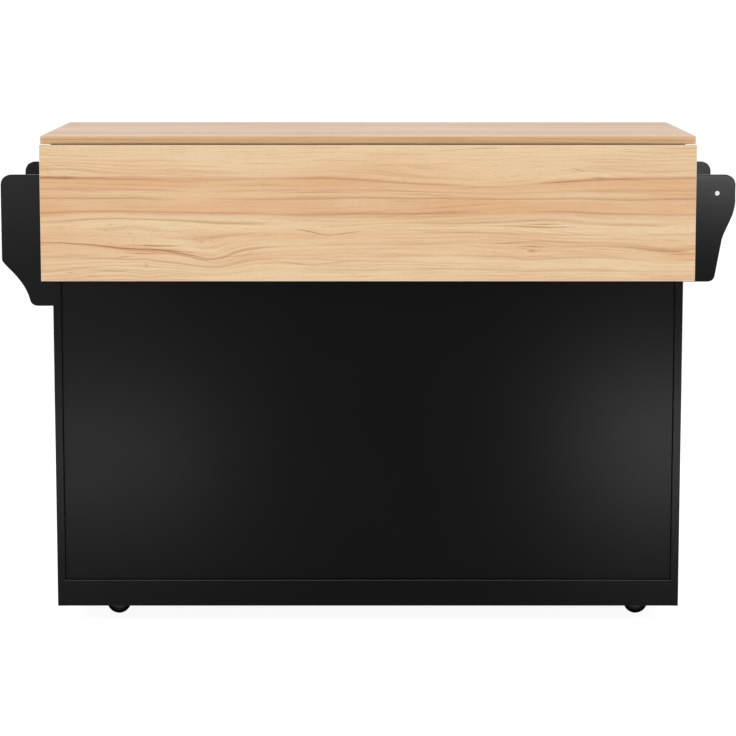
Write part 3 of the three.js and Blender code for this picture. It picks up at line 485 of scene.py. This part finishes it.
def brushed_metal(name, tone, roughness, grain, spots=0.0, recess=None):
    """Metal with fine lines: `grain` is how many lines a metre holds along X, Y and Z. `spots` is
    the strength of its zinc flowers, and `recess` gives, of (x, y, z), where shade is painted in
    as a darker tone."""
    metal = Finish(name, Metallic=1.0)
    x, y, z = metal.position()
    lines = metal.noise(x * grain[0], y * grain[1], z * grain[2], 3.0, 0.6)
    cloud = metal.noise(x * 24, y * 24, z * 24, 3.0)
    tint = metal.blend(lines, times(tone, 0.86), times(tone, 1.08))
    if spots:
        at = metal.node("TexCoord", output="Object")
        flowers = metal.node("TexVoronoi", values={"Vector": at, "Scale": 260.0})
        tint = metal.blend(flowers * spots, tint, times(tone, 0.72))
    if recess:
        # Painted shade in the hollow.
        tint = metal.blend(recess(x, y, z), tint, times(tone, 0.6))
    metal.paint("Base Color", tint)
    metal.paint("Roughness", roughness + (lines - 0.5) * 0.16 + (cloud - 0.5) * 0.12)
    metal.relief(lines, 0.00002, 0.5)
    return metal.material


def drawer_board(name):
    """Pale printed board inside the drawers, plainer than the worktop."""
    board = Finish(name)
    x, y, z = board.position()
    grain = board.noise(x * 14, y * 3, z * 160, 3.0, 0.6)
    flow = board.noise(x * 5, y * 1.2, z * 40, 2.0)
    shade = board.blend(flow, linear(222, 196, 160), linear(208, 176, 136))
    shade = board.blend(board.soft(grain, 0.55, 0.75) * 0.4, shade, linear(186, 150, 110))
    board.paint("Base Color", shade)
    board.paint("Roughness", 0.5 + grain * 0.12)
    board.relief(grain, 0.00005, 0.5)
    return board.material


def moulded(name, tone, roughness, coarse, shine=0.35):
    """Moulded plastic or rubber with a fine spark-eroded texture."""
    stuff = Finish(name, Specular_IOR_Level=shine)
    x, y, z = stuff.position()
    grain = stuff.noise(x * coarse, y * coarse, z * coarse, 3.0, 0.6)
    cloud = stuff.noise(x * 40, y * 40, z * 40, 2.0)
    stuff.paint("Base Color", stuff.blend(cloud, times(tone, 0.8), times(tone, 1.25)))
    stuff.paint("Roughness", roughness + (grain - 0.5) * 0.2)
    stuff.relief(grain, 0.00008, 0.6)
    return stuff.material


def bolt_socket_shade(x, y, z):
    """1 in the sockets of the towel bar's bolts, where shade is painted in as a darker tone."""
    aside, above = x - TOWEL_BAR_X * MM, z - TOWEL_BAR_LEVEL * MM
    return x.math("LESS_THAN", aside * aside + above * above, (1.5 * MM) ** 2)


def past_the_front_edge(x, y, z):
    """1 on the hinge halves and magnets that stand before the boards' front edges."""
    return y.math("GREATER_THAN", y, (BODY_FRONT + 0.05 + REAR_EDGE) * MM)


def under_the_shelf(x, y, z):
    """1 on the shelf's pegs."""
    return z.math("LESS_THAN", z, (SHELF_UNDER - 0.03) * MM)


def between_the_partitions(x, y, z):
    """1 on the drawer runners."""
    return x.math("LESS_THAN", abs(x), (PARTITION_INNER - 0.05) * MM)


leaf_wood = wood_print(
    "leaf_wood",
    lambda x, y, z: LEAF_TOP * MM - z,
    lambda x, y, z: y - (LEAF_OUTSIDE + REAR_EDGE) * MM,
    2, LEAF_KNOTS, LEAF_STREAKS, LEAF_PATCHES, 4.3,
)
top_wood = wood_print(
    "worktop_wood",
    lambda x, y, z: y - REAR_EDGE * MM,
    lambda x, y, z: TOP_SURFACE * MM - z,
    1, TOP_KNOTS, TOP_STREAKS, TOP_PATCHES, 9.1, 0.4,
)
EVEN = (900, 900, 900)
black_paint = satin_paint("black_satin_paint")
# The rear rail's paint carries a highlight painted along its upper eased edge.
rail_paint = satin_paint("rail_paint", highlight_tone=0.1)
panel_paint = satin_paint("side_panel_paint", past_the_front_edge)
shelf_paint = satin_paint("shelf_paint", under_the_shelf)
runner_paint = satin_paint("partition_paint", between_the_partitions, (0.36, 0.36, 0.37))
satin_nickel = brushed_metal("satin_nickel", (0.66, 0.64, 0.61), 0.26, (2600, 300, 2600))
bolt_nickel = brushed_metal("bolt_nickel", (0.95, 0.94, 0.92), 0.16, EVEN, recess=bolt_socket_shade)
zinc_plate = brushed_metal("zinc_plate", (0.50, 0.51, 0.53), 0.38, EVEN, 0.5)
blackened_steel = brushed_metal("blackened_steel", (0.024, 0.020, 0.018), 0.5, EVEN, 0.3)
pale_board = drawer_board("drawer_board")
tyre_rubber = moulded("tyre_rubber", (0.0012, 0.0012, 0.0013), 0.75, 1500, 0.0)
hub_plastic = moulded("hub_plastic", (0.010, 0.010, 0.011), 0.45, 900, 0.2)
pedal_plastic = moulded("pedal_plastic", (0.012, 0.012, 0.013), 0.42, 900)


# ---- Making pieces
def joined(parts):
    """One bmesh of several, each of which is used up."""
    whole = bmesh.new()
    for part in parts:
        carrier = bpy.data.meshes.new("carrier")
        part.to_mesh(carrier)
        part.free()
        whole.from_mesh(carrier)
        bpy.data.meshes.remove(carrier)
    return whole


def finished(name, parts, body, finish, replaces=(), angle=32):
    """Turns parts in metres into a piece that rides on a body. Faces that meet at more than
    `angle` degrees keep their edge, and the broad ones are shaded flat up to their rounding."""
    mesh = bpy.data.meshes.new(name)
    shape = joined(parts)
    shape.to_mesh(mesh)
    shape.free()
    made = bpy.data.objects.new(name, mesh)
    bpy.context.collection.objects.link(made)
    mesh.materials.append(finish)
    mesh.shade_smooth()
    mesh.set_sharp_from_angle(angle=math.radians(angle))
    made.modifiers.new("flat_broad_faces", "WEIGHTED_NORMAL").keep_sharp = True
    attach(made, body)
    if replaces:
        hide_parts(*replaces)
    return made


AXES = {
    "x": Matrix(((0, 0, 1), (1, 0, 0), (0, 1, 0))),
    "y": Matrix(((1, 0, 0), (0, 0, 1), (0, -1, 0))),
    "-y": Matrix(((1, 0, 0), (0, 0, -1), (0, 1, 0))),
    "z": Matrix.Identity(3),
    "-z": Matrix(((1, 0, 0), (0, -1, 0), (0, 0, -1))),
}


def lathe(axis, centre, profile, steps, socket=None):
    """Spins (radius, height) pairs in millimetres about an axis through a point of the drawing."""
    shape = bmesh.new()
    points = [shape.verts.new((radius * MM, 0, height * MM)) for radius, height in profile]
    edges = [shape.edges.new(pair) for pair in zip(points, points[1:])]
    bmesh.ops.spin(
        shape, geom=points + edges, cent=(0, 0, 0), axis=(0, 0, 1), angle=2 * math.pi,
        steps=steps, use_merge=True,
    )
    bmesh.ops.remove_doubles(shape, verts=shape.verts, dist=1e-7)
    if socket:
        draw_in(shape, *socket)
    bmesh.ops.rotate(shape, verts=shape.verts, cent=(0, 0, 0), matrix=AXES[axis])
    bmesh.ops.translate(shape, verts=shape.verts, vec=spot(*centre))
    bmesh.ops.recalc_face_normals(shape, faces=shape.faces)
    return shape


def draw_in(shape, radius, corners):
    """Draws the rings at `radius` in to a regular polygon: a socket for a wrench or driver."""
    step = 2 * math.pi / corners
    for v in shape.verts:
        if abs(math.hypot(v.co.x, v.co.y) - radius * MM) < 2e-6:
            off = math.atan2(v.co.y, v.co.x) % step - step / 2
            pull = math.cos(step / 2) / math.cos(off)
            v.co.x *= pull
            v.co.y *= pull


def block(low, high, edge=0.4, segments=2, along=None):
    """A box between two corners of the drawing, with all its edges rounded, or those along one
    axis."""
    shape = bmesh.new()
    low, high = spot(*low), spot(*high)
    place = Matrix.Translation((low + high) / 2) @ Matrix.Diagonal((*(high - low), 1))
    bmesh.ops.create_cube(shape, size=1, matrix=place)
    rounded = [
        e for e in shape.edges if along is None or e.verts[0].co[along] != e.verts[1].co[along]
    ]
    round_over(shape, rounded, edge, segments)
    return shape


def round_over(shape, edges, width, segments, clamp=False):
    bmesh.ops.bevel(
        shape, geom=edges, offset=width * MM, segments=segments, profile=0.5, affect="EDGES",
        material=-1, clamp_overlap=clamp,
    )


def turned_about(shape, centre, axis, degrees):
    turn = Matrix.Rotation(math.radians(degrees), 3, axis)
    bmesh.ops.rotate(shape, verts=shape.verts, cent=spot(*centre), matrix=turn)
    return shape


def eased(node, body, finish, width):
    """A copy of a solid with its sharp edges rounded over."""
    flat, sharp = math.radians(1), math.radians(40)
    shape = bmesh.new()
    shape.from_mesh(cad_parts[node].data)
    bmesh.ops.remove_doubles(shape, verts=shape.verts, dist=1e-6)
    bmesh.ops.dissolve_limit(
        shape, angle_limit=flat, use_dissolve_boundaries=False,
        verts=shape.verts, edges=shape.edges,
    )
    edges = [e for e in shape.edges if e.is_manifold and e.calc_face_angle(0) > sharp]
    round_over(shape, edges, width, 2, clamp=True)
    return finished(node + "_eased", [shape], body, finish, [node], 38)


def dress(finish, *nodes):
    """Gives a material to solids that show as they are."""
    for node in nodes:
        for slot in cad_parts[node].material_slots:
            slot.material = finish


def socket_bolt(axis, centre, radius, height):
    """A round head with a hexagonal socket, standing along the axis from the point it sits on."""
    hole = radius * 0.36
    profile = [
        (0, height * 0.04), (hole, height * 0.35), (hole, height * 0.96), (hole * 1.12, height),
        (radius * 0.86, height), (radius * 0.97, height * 0.8), (radius, height * 0.4), (radius, 0),
    ]
    return lathe(axis, centre, profile, 36, (hole, 6))


def flat_screw(axis, centre, radius):
    """A countersunk head with a small square recess, level with the sheet it holds."""
    profile = [
        (0, -0.25), (radius * 0.3, -0.25), (radius * 0.42, 0.12), (radius * 0.9, 0.12),
        (radius, 0), (radius, -0.4),
    ]
    return lathe(axis, centre, profile, 24, (radius * 0.42, 4))


def round_screw(axis, centre, radius):
    """A domed head with a square recess."""
    profile = [
        (0, 0.5), (radius * 0.3, 0.5), (radius * 0.4, radius * 0.5), (radius * 0.7, radius * 0.47),
        (radius * 0.94, radius * 0.26), (radius, 0),
    ]
    return lathe(axis, centre, profile, 24, (radius * 0.4, 4))


# ---- Worktop, leaf and boards
def make_boards():
    eased("worktop", "cabinet", top_wood, 0.5)
    leaf = eased("drop_leaf", "leaf", leaf_wood, 0.5)
    for corner in leaf.data.vertices:
        if corner.co.z > LEAF_PIN_LEVEL * MM:
            corner.co.z += LEAF_GAP_CLOSED * MM
    dress(panel_paint, "side_panel_left", "side_panel_right", "front_bottom_rail")
    dress(runner_paint, "partition_left", "partition_right")
    dress(shelf_paint, "shelf_left", "shelf_right")
    dress(black_paint, "back_panel", "bottom_panel", "spice_rack_shelf", "spice_rack_slat")
    rail = block(
        (-RAIL_HALF, BODY_REAR, RAIL_BOTTOM), (RAIL_HALF, BODY_REAR + BOARD, RAIL_TOP),
        0.8, 3, along=0,
    )
    finished("rear_rail", [rail], "cabinet", rail_paint, ["back_bottom_rail"])
    dress(pale_board, "top_drawer_box", "middle_drawer_box", "bottom_drawer_box")
    dress(zinc_plate, "stay_track_left", "stay_track_right")


# ---- Rack end plates
def rounded_plate(name, outline, near, far, node):
    """A flat plate from an outline of Bezier points in X and Z, between two depths, with its
    edges rounded over."""
    ease, upright = 1.4, Matrix.Rotation(math.pi / 2, 3, "X")
    curve = bpy.data.curves.new(name + "_outline", "CURVE")
    curve.dimensions = "2D"
    curve.fill_mode = "BOTH"
    curve.resolution_u = 14
    curve.extrude = ((far - near) / 2 - ease) * MM
    curve.bevel_depth = ease * MM
    curve.bevel_resolution = 2
    curve.offset = -ease * MM
    spline = curve.splines.new("BEZIER")
    spline.bezier_points.add(len(outline) - 1)
    spline.use_cyclic_u = True
    for point, (before, here, after) in zip(spline.bezier_points, outline):
        point.handle_left, point.co, point.handle_right = (
            Vector((x, z, 0)) * MM for x, z in (before, here, after)
        )
    drawn = bpy.data.objects.new(name + "_outline", curve)
    bpy.context.collection.objects.link(drawn)
    bpy.context.view_layer.update()
    graph = bpy.context.evaluated_depsgraph_get()
    flat = bpy.data.meshes.new_from_object(drawn.evaluated_get(graph))
    bpy.data.objects.remove(drawn)
    shape = bmesh.new()
    shape.from_mesh(flat)
    bmesh.ops.remove_doubles(shape, verts=shape.verts, dist=1e-6)
    bmesh.ops.rotate(shape, verts=shape.verts, cent=(0, 0, 0), matrix=upright)
    bmesh.ops.translate(shape, verts=shape.verts, vec=spot(0, (near + far) / 2, 0))
    bmesh.ops.recalc_face_normals(shape, faces=shape.faces)
    return finished(name, [shape], "cabinet", black_paint, [node], 50)


def bent(start, pull_out, pull_in, end):
    """A cubic stretch of an outline, from start to end, with its two handles."""
    return {"after": pull_out, "before": pull_in, "from": start, "to": end}


def straight(start, end):
    third = [(e - s) / 3 for s, e in zip(start, end)]
    return bent(
        start,
        (start[0] + third[0], start[1] + third[1]),
        (end[0] - third[0], end[1] - third[1]),
        end,
    )


def swept(start, corner, end):
    """A quadratic stretch, as a cubic one."""
    return bent(
        start,
        tuple(s + (c - s) * 2 / 3 for s, c in zip(start, corner)),
        tuple(e + (c - e) * 2 / 3 for e, c in zip(end, corner)),
        end,
    )


def closed_outline(stretches):
    """Bezier points (handle before, point, handle after) of stretches that meet end to end."""
    return [
        (last["before"], this["from"], this["after"])
        for last, this in zip(stretches[-1:] + stretches[:-1], stretches)
    ]


def rack_plate_outline(side, drop, straight_edge, foot, sweep):
    """Square at the top, a rounded outer corner, a straight edge, then a sweep in to a flat
    foot. The root's rounded edge lies inside the side panel."""
    def at(out, down):
        return (side * (BODY_END + out), RACK_TOP - down)

    corner, root = 17.5, -2.4
    top_outer, side_upper = at(RACK_REACH - corner, 0), at(RACK_REACH, corner)
    side_lower, foot_end, foot_root = at(RACK_REACH, straight_edge), at(foot, drop), at(root, drop)
    return closed_outline([
        straight(at(root, 0), top_outer),
        swept(top_outer, at(RACK_REACH - 0.12 * corner, 0.12 * corner), side_upper),
        straight(side_upper, side_lower),
        *sweep(at, side_lower, foot_end),
        straight(foot_end, foot_root),
        straight(foot_root, at(root, 0)),
    ])


def spice_sweep(at, start, end):
    ankle = at(43.5, 236.8)
    return [
        bent(start, at(RACK_REACH, 170.5), at(55, 192.5), ankle),
        swept(ankle, at(40.2, 248), end),
    ]


def towel_sweep(at, start, end):
    knee, toe = at(71, 124.5), at(59.4, 190)
    return [
        bent(start, at(RACK_REACH, 78.5), at(76, 100.5), knee),
        straight(knee, toe),
        swept(toe, at(57.3, 202), end),
    ]


def make_racks():
    spice = rack_plate_outline(-1, 248, 159.5, 28, spice_sweep)
    towel = rack_plate_outline(1, 202, 49.5, 44, towel_sweep)
    near, far = BODY_REAR + BOARD, BODY_FRONT - BOARD
    for rack, outline in (("spice_rack", spice), ("towel_rack", towel)):
        rounded_plate(rack + "_rear_plate", outline, BODY_REAR, near, rack + "_rear_end")
        rounded_plate(rack + "_front_plate", outline, far, BODY_FRONT, rack + "_front_end")
    round_end, ease = TOWEL_BAR_RADIUS - 1, 1.2
    profile = [
        (0, near), (round_end, near), (TOWEL_BAR_RADIUS, near + ease),
        (TOWEL_BAR_RADIUS, (near + far) / 2),
        (TOWEL_BAR_RADIUS, far - ease), (round_end, far), (0, far),
    ]
    bar = lathe("y", (TOWEL_BAR_X, 0, TOWEL_BAR_LEVEL), profile, 48)
    finished("towel_bar_tube", [bar], "cabinet", satin_nickel, ["towel_bar"])
    for where, depth, axis in (("rear", BODY_REAR, "-y"), ("front", BODY_FRONT, "y")):
        head = socket_bolt(axis, (TOWEL_BAR_X, depth, TOWEL_BAR_LEVEL), 4.6, 2.5)
        finished(
            "towel_bar_" + where + "_bolt", [head], "cabinet", bolt_nickel,
            ["towel_bar_screw_" + where],
        )


# ---- Doors and drawer fronts
def framed_front(name, body, x_span, z_span, node):
    """A front of two stiles, two rails and a sunk panel, each with its own eased edges. The
    rails' faces lie a hair behind the stiles', and the panel runs into grooves."""
    (x0, x1), (z0, z1) = x_span, z_span
    wide, sunk, groove = 55, 6, 6
    stiles = [
        block((near, FRONT_REAR, z0), (far, FRONT_FACE, z1), 0.9, 3)
        for near, far in ((x0, x0 + wide), (x1 - wide, x1))
    ]
    rails = [
        block((x0 + wide, FRONT_REAR + 0.05, low), (x1 - wide, FRONT_FACE - 0.05, high), 0.6, 2)
        for low, high in ((z0, z0 + wide), (z1 - wide, z1))
    ]
    inset = wide - groove
    panel = block(
        (x0 + inset, FRONT_REAR + 0.1, z0 + inset),
        (x1 - inset, FRONT_FACE - sunk, z1 - inset),
        0.3, 1,
    )
    return finished(name, [*stiles, *rails, panel], body, black_paint, [node])


def both_posts(along, centre):
    """Where a handle's two posts stand, in X and Z."""
    x, z = centre
    shifts = (-POST_SHIFT, POST_SHIFT)
    return [(x + shift, z) if along == "x" else (x, z + shift) for shift in shifts]


def bar_handle(name, body, along, centre, node):
    """A round bar on two posts with small feet."""
    end = [(0, 0), (4, 0), (4.8, 0.4), (5, 1.2)]
    bar = [(radius, inset - HANDLE_HALF) for radius, inset in end] + [(5, 0)]
    bar += [(radius, HANDLE_HALF - inset) for radius, inset in end[::-1]]
    post = [(0, 0), (5.6, 0), (5.6, 1.2), (4.6, 2.2), (4, 4.5), (4, 24), (0, 24)]
    parts = [lathe(along, (centre[0], FRONT_FACE + 27, centre[1]), bar, 40)]
    parts += [lathe("y", (x, FRONT_FACE, z), post, 32) for x, z in both_posts(along, centre)]
    return finished(name, parts, body, satin_nickel, [node])


def door_hinge(side, level, door):
    """One butt hinge: the fixed half on the cabinet's edge and the moving half behind the door."""
    pin = (side * DOOR_PIN_X, DOOR_PIN_DEPTH, level)
    name = door + ("_upper" if level > 500 else "_lower")
    low, high, screws = level - DOOR_HINGE_HALF, level + DOOR_HINGE_HALF, (level - 15, level + 15)
    ends = [
        [
            (0, bottom), (2.4, bottom), (DOOR_KNUCKLE, bottom + 0.4),
            (DOOR_KNUCKLE, top - 0.25), (2.5, top), (0, top),
        ]
        for bottom, top in ((-DOOR_HINGE_HALF, -7.45), (7.45, DOOR_HINGE_HALF))
    ]
    tip = [(0, 21.5), (1.7, 22), (1.7, 22.5), (1.2, 23.1), (0, 23.3)]
    tips = [[(radius, turn * height) for radius, height in tip] for turn in (1, -1)]
    sheet_face = BODY_FRONT + 0.9
    near, far = sorted((side * (BODY_END - 13), side * BODY_END))
    fixed = [lathe("z", pin, profile, 28) for profile in ends + tips]
    fixed.append(block((near, BODY_FRONT, low), (far, sheet_face, high), 0.15, 1))
    fixed += [flat_screw("y", (side * (BODY_END - 7.5), sheet_face, z), 2.6) for z in screws]
    finished(name + "_hinge_fixed", fixed, "cabinet", zinc_plate)
    barrel = [
        (1.4, -7.0), (2.5, -7.0), (DOOR_KNUCKLE, -6.75), (DOOR_KNUCKLE, 6.75),
        (2.5, 7.0), (1.4, 7.0), (1.4, -7.0),
    ]
    sheet_face = FRONT_REAR - 0.85
    wing, web = sorted((side * 582.5, side * 595.5)), sorted((side * 594.6, side * 598))
    moving = [
        lathe("z", pin, barrel, 28),
        block((wing[0], sheet_face, low), (wing[1], FRONT_REAR, high), 0.15, 1),
        block((web[0], sheet_face, level - 6.8), (web[1], FRONT_REAR + 0.4, level + 6.8), 0.15, 1),
    ]
    moving += [flat_screw("-y", (side * 588, sheet_face + 0.05, z), 2.6) for z in screws]
    finished(name + "_hinge_moving", moving, door, zinc_plate)


def make_doors():
    for side, door in ((-1, "door_left"), (1, "door_right")):
        x_span = sorted((side * DOOR_NEAR, side * DOOR_FAR))
        framed_front(door + "_front", door, x_span, (FRONT_BOTTOM, FRONT_TOP), door)
        centre = (side * (DOOR_NEAR + 30), 590)
        bar_handle(door + "_bar", door, "z", centre, door + "_handle")
        screws = [round_screw("-y", (x, FRONT_REAR, z), 4) for x, z in both_posts("z", centre)]
        finished(door + "_handle_screws", screws, door, zinc_plate)
        plate = [(0, 0.7), (1.2, 0.7), (1.6, 1), (4.2, 1), (4.5, 0.7), (4.5, 0)]
        opposite_magnet = (side * (DOOR_NEAR + 45), FRONT_REAR, FRONT_BOTTOM + 5)
        strike = lathe("-y", opposite_magnet, plate, 32)
        finished(door + "_strike_plate", [strike], door, zinc_plate)
        for level in DOOR_HINGE_LEVELS:
            door_hinge(side, level, door)


def make_drawers():
    for drawer, bottom in DRAWERS.items():
        top = bottom + DRAWER_FRONT_HEIGHT
        x_span = (-DRAWER_HALF, DRAWER_HALF)
        framed_front(drawer + "_face", drawer, x_span, (bottom, top), drawer + "_front")
        bar_handle(drawer + "_bar", drawer, "x", (0, top - 28), drawer + "_handle")
        screws = [
            round_screw("-y", (x, DRAWER_BOX_INSIDE, bottom + rise), 3.6)
            for x in (-140, 140) for rise in (70, 190)
        ]
        finished(drawer + "_front_screws", screws, drawer, zinc_plate)


# ---- Leaf hinges and stays
def hinge_barrel(x0, x1):
    half = (x1 - x0) / 2
    profile = [(0, -half), (2.6, -half), (3, 0.35 - half), (3, half - 0.35), (2.6, half), (0, half)]
    return lathe("x", ((x0 + x1) / 2, LEAF_PIN_DEPTH, LEAF_PIN_LEVEL), profile, 32)


def leaf_hinge(where, x):
    """The half under the worktop with its two knuckles, and the half on the leaf with one."""
    name, slot = "leaf_hinge_" + where, "blackened_steel"
    third, left, right = 2 * LEAF_HINGE_HALF / 3, x - LEAF_HINGE_HALF, x + LEAF_HINGE_HALF
    under, face = 915.5, -4.0
    fixed = [block((left, 0.8, under), (right, 25.5, 917), 0.25, 2)]
    for x0, x1 in ((left, left + third), (right - third, right)):
        fixed += [hinge_barrel(x0, x1), block((x0, -2.5, under), (x1, 1.5, 916.95), 0.1, 1)]
    for shift, depth in ((-22, 16), (0, 19), (22, 16)):
        fixed.append(flat_screw("-z", (x + shift, depth, under), 3.4))
    finished(name + "_top_half", fixed, "cabinet", blackened_steel, [name + "_fixed"])
    near, far = x - third / 2 + 0.3, x + third / 2 - 0.3
    moving = [
        block((left, -5.5, 886), (right, face, 910.7), 0.25, 2),
        hinge_barrel(near, far),
        block((near, -5.45, 909.7), (far, face, LEAF_PIN_LEVEL), 0.1, 1),
    ]
    for shift, level in ((-22, 895), (0, 892), (22, 895)):
        moving.append(flat_screw("y", (x + shift, face, level), 3.4))
    finished(name + "_leaf_half", moving, "leaf", blackened_steel, [name + "_moving"])


def make_stays():
    plate_face = BACK_PANEL_REAR - 3
    for where, x in STAYS.items():
        eased("stay_arm_" + where, "stay_" + where, zinc_plate, 0.35)
        eased("stay_bracket_" + where, "cabinet", zinc_plate, 0.3)
        wall = [
            flat_screw("-y", (x + shift, plate_face, level), 2.6)
            for shift in (-9, 10) for level in (799, 839)
        ]
        finished("stay_" + where + "_wall_screws", wall, "cabinet", zinc_plate)
        channel = [flat_screw("y", (x, -3.5, level), 2.6) for level in (690, 740, 790)]
        finished("stay_" + where + "_channel_screws", channel, "leaf", zinc_plate)


# ---- Casters
def caster_wheel(where, x, depth):
    """A rubber tyre on a moulded hub with six spokes."""
    axle, body = (x + TRAIL, depth, WHEEL_RADIUS), "wheel_" + where
    bore, side = 15.7, 8.0
    outer = [(18.4, side), (20.4, 7.7), (21.9, 6.6), (22.7, 4.6), (WHEEL_RADIUS, 1.8)]
    tread = [(r, -h) for r, h in outer] + outer[::-1]
    tyre = lathe("y", axle, [(bore, -side), *tread, (bore, side), (bore, 0), (bore, -side)], 64)
    finished("tyre_" + where, [tyre], body, tyre_rubber, ["caster_wheel_" + where])
    half = [(3.3, 9), (6.4, 9), (7, 8.4), (7, 5), (13.6, 5), (14.1, 7.6), (15.4, 8.2), (15.8, 7.9)]
    web = lathe("y", axle, [(r, -h) for r, h in half] + half[::-1] + [(3.3, 0), (3.3, -9)], 48)
    root, tip = (axle[0] - 0.8, depth - 7.2, 29.5), (axle[0] + 0.8, depth + 7.2, 36.9)
    spokes = [turned_about(block(root, tip, 0.2, 1), axle, "Y", turn * 60) for turn in range(6)]
    finished("wheel_hub_" + where, [web, *spokes], body, hub_plastic)


def make_casters():
    for where, (x, depth) in CASTERS.items():
        caster_wheel(where, x, depth)
        screws = [
            round_screw("-z", (x + dx, depth + dy, CASTER_PLATE_UNDER), 3.4)
            for dx in (-23, 23) for dy in (-17, 17)
        ]
        finished("caster_screws_" + where, screws, "cabinet", zinc_plate)
        dress(zinc_plate, "caster_plate_" + where)
        eased("caster_fork_" + where, "fork_" + where, zinc_plate, 0.3)
        if where.startswith("front"):
            side = where.split("_")[1]
            pedal, body = "brake_pedal_" + where, "pedal_front_" + side
            eased(pedal, body, pedal_plastic, 0.4)


# ---- Fittings inside the cabinet
def make_joint_covers():
    """Round covers over the joint fittings in the bottom panel."""
    profile = [(0, 0.5), (1.4, 0.5), (1.8, 0.9), (6.6, 0.8), (7.2, 0.4), (7.4, 0)]
    covers = [
        lathe("z", (x, depth, RAIL_TOP), profile, 32, (1.8, 4))
        for x in (-560, -225, 225, 560) for depth in (110, 380)
    ]
    finished("joint_covers", covers, "cabinet", hub_plastic)


# ---- Studio
def set_up(name, shape, tone, glow):
    """A piece of the studio in a pale matt paint that glows a little."""
    paint = Finish(name + "_paint", Roughness=0.9, Specular_IOR_Level=0.1)
    x, y, z = paint.position()
    mottle = paint.noise(x * 3, y * 3, z, 3.0)
    paint.paint("Base Color", paint.blend(mottle, (tone * 0.93,) * 3, (tone * 1.07,) * 3))
    paint.paint("Emission Color", (1, 1, 1))
    paint.paint("Emission Strength", glow)
    mesh = bpy.data.meshes.new(name)
    shape.to_mesh(mesh)
    shape.free()
    mesh.materials.append(paint.material)
    made = bpy.data.objects.new(name, mesh)
    bpy.context.collection.objects.link(made)


def make_studio():
    """A pale floor with a round wall far behind it, a white sky and the lamps."""
    floor, wall = bmesh.new(), bmesh.new()
    far, height = 78, 28
    bmesh.ops.create_grid(floor, x_segments=1, y_segments=1, size=far + 2)
    bmesh.ops.create_cone(wall, segments=96, radius1=far, radius2=far, depth=height)
    set_up("floor", floor, 0.14, 0.93)
    set_up("far_wall", wall, 0.05, 1.0)
    world = bpy.data.worlds.new("studio")
    bpy.context.scene.world = world
    world.use_nodes = True
    sky = world.node_tree.nodes["Background"]
    sky.inputs["Color"].default_value = (1, 1, 1, 1)
    sky.inputs["Strength"].default_value = 0.76
    # Each lamp's place, the point that it faces, its width and height, its power and its spread.
    soft_box("left_box", (-0.70, -1.40, 0.13), (-0.64, -0.19, 0.26), (0.60, 0.14), 0.49, 55)
    soft_box("right_box", (0.69, -1.40, 0.165), (0.64, -0.19, 0.30), (0.32, 0.22), 0.42, 45)
    soft_box("left_plate_box", (-0.80, -1.40, 0.90), (-0.80, -0.19, 0.86), (0.4, 0.3), 0.7, 60)
    soft_box("right_plate_box", (0.80, -1.40, 0.97), (0.68, -0.19, 0.93), (0.2, 0.2), 0.55, 25)
    for name, side in (("left", -1), ("right", 1)):
        door, end = (side * 0.2, 0.2, 0.45), (side * 0.6, 0.0, 0.45)
        soft_box(name + "_door_box", (side * 1.5, 1.9, 1.0), door, (0.5, 1.5), 26, 180)
        soft_box(name + "_end_box", (side * 2.4, 0.9, 1.1), end, (0.7, 1.2), 26, 180)
    soft_box("top_box", (0, -0.6, 3.2), (0, 0, 0.9), (2.7, 2.7), 14, 180, flagged=False)


def soft_box(name, place, target, size, power, spread, flagged=True):
    """A soft light. A flagged one doesn't fall on the wooden boards and the towel bar's bolts."""
    light = bpy.data.lights.new(name, "AREA")
    light.shape = "RECTANGLE"
    light.size, light.size_y = size
    light.energy = power
    light.spread = math.radians(spread)
    lamp = bpy.data.objects.new(name, light)
    lamp.location = place
    lamp.visible_camera = False
    lamp.rotation_euler = (Vector(target) - Vector(place)).to_track_quat("-Z", "Y").to_euler()
    bpy.context.collection.objects.link(lamp)
    if flagged:
        lamp.light_linking.receiver_collection = flagged_pieces()


def flagged_pieces():
    """The pieces that black flags keep all lamps but the top one off."""
    flags = bpy.data.collections.get("flagged_pieces")
    if flags is None:
        flags = bpy.data.collections.new("flagged_pieces")
        bolts = ("towel_bar_rear_bolt", "towel_bar_front_bolt")
        for piece in ("worktop_eased", "drop_leaf_eased", *bolts):
            flags.objects.link(bpy.data.objects[piece])
        for member in flags.collection_objects:
            member.light_linking.link_state = "EXCLUDE"
    return flags


def make_camera():
    """The photograph's viewpoint, solved from the boards' parallel edges."""
    lens = bpy.data.cameras.new("camera")
    lens.lens = 132.75
    lens.sensor_width = 36
    lens.clip_end = 200
    camera = bpy.data.objects.new("camera", lens)
    camera.location = (0, -5.30115, 1.216)
    camera.rotation_euler = (math.radians(90 - 8.10), 0, 0)
    bpy.context.collection.objects.link(camera)
    bpy.context.scene.camera = camera
    bpy.context.scene.view_settings.view_transform = "Standard"


make_camera()
make_boards()
make_racks()
make_doors()
make_drawers()
for where, x in LEAF_HINGES.items():
    leaf_hinge(where, x)
make_stays()
make_casters()
make_joint_covers()
make_studio()
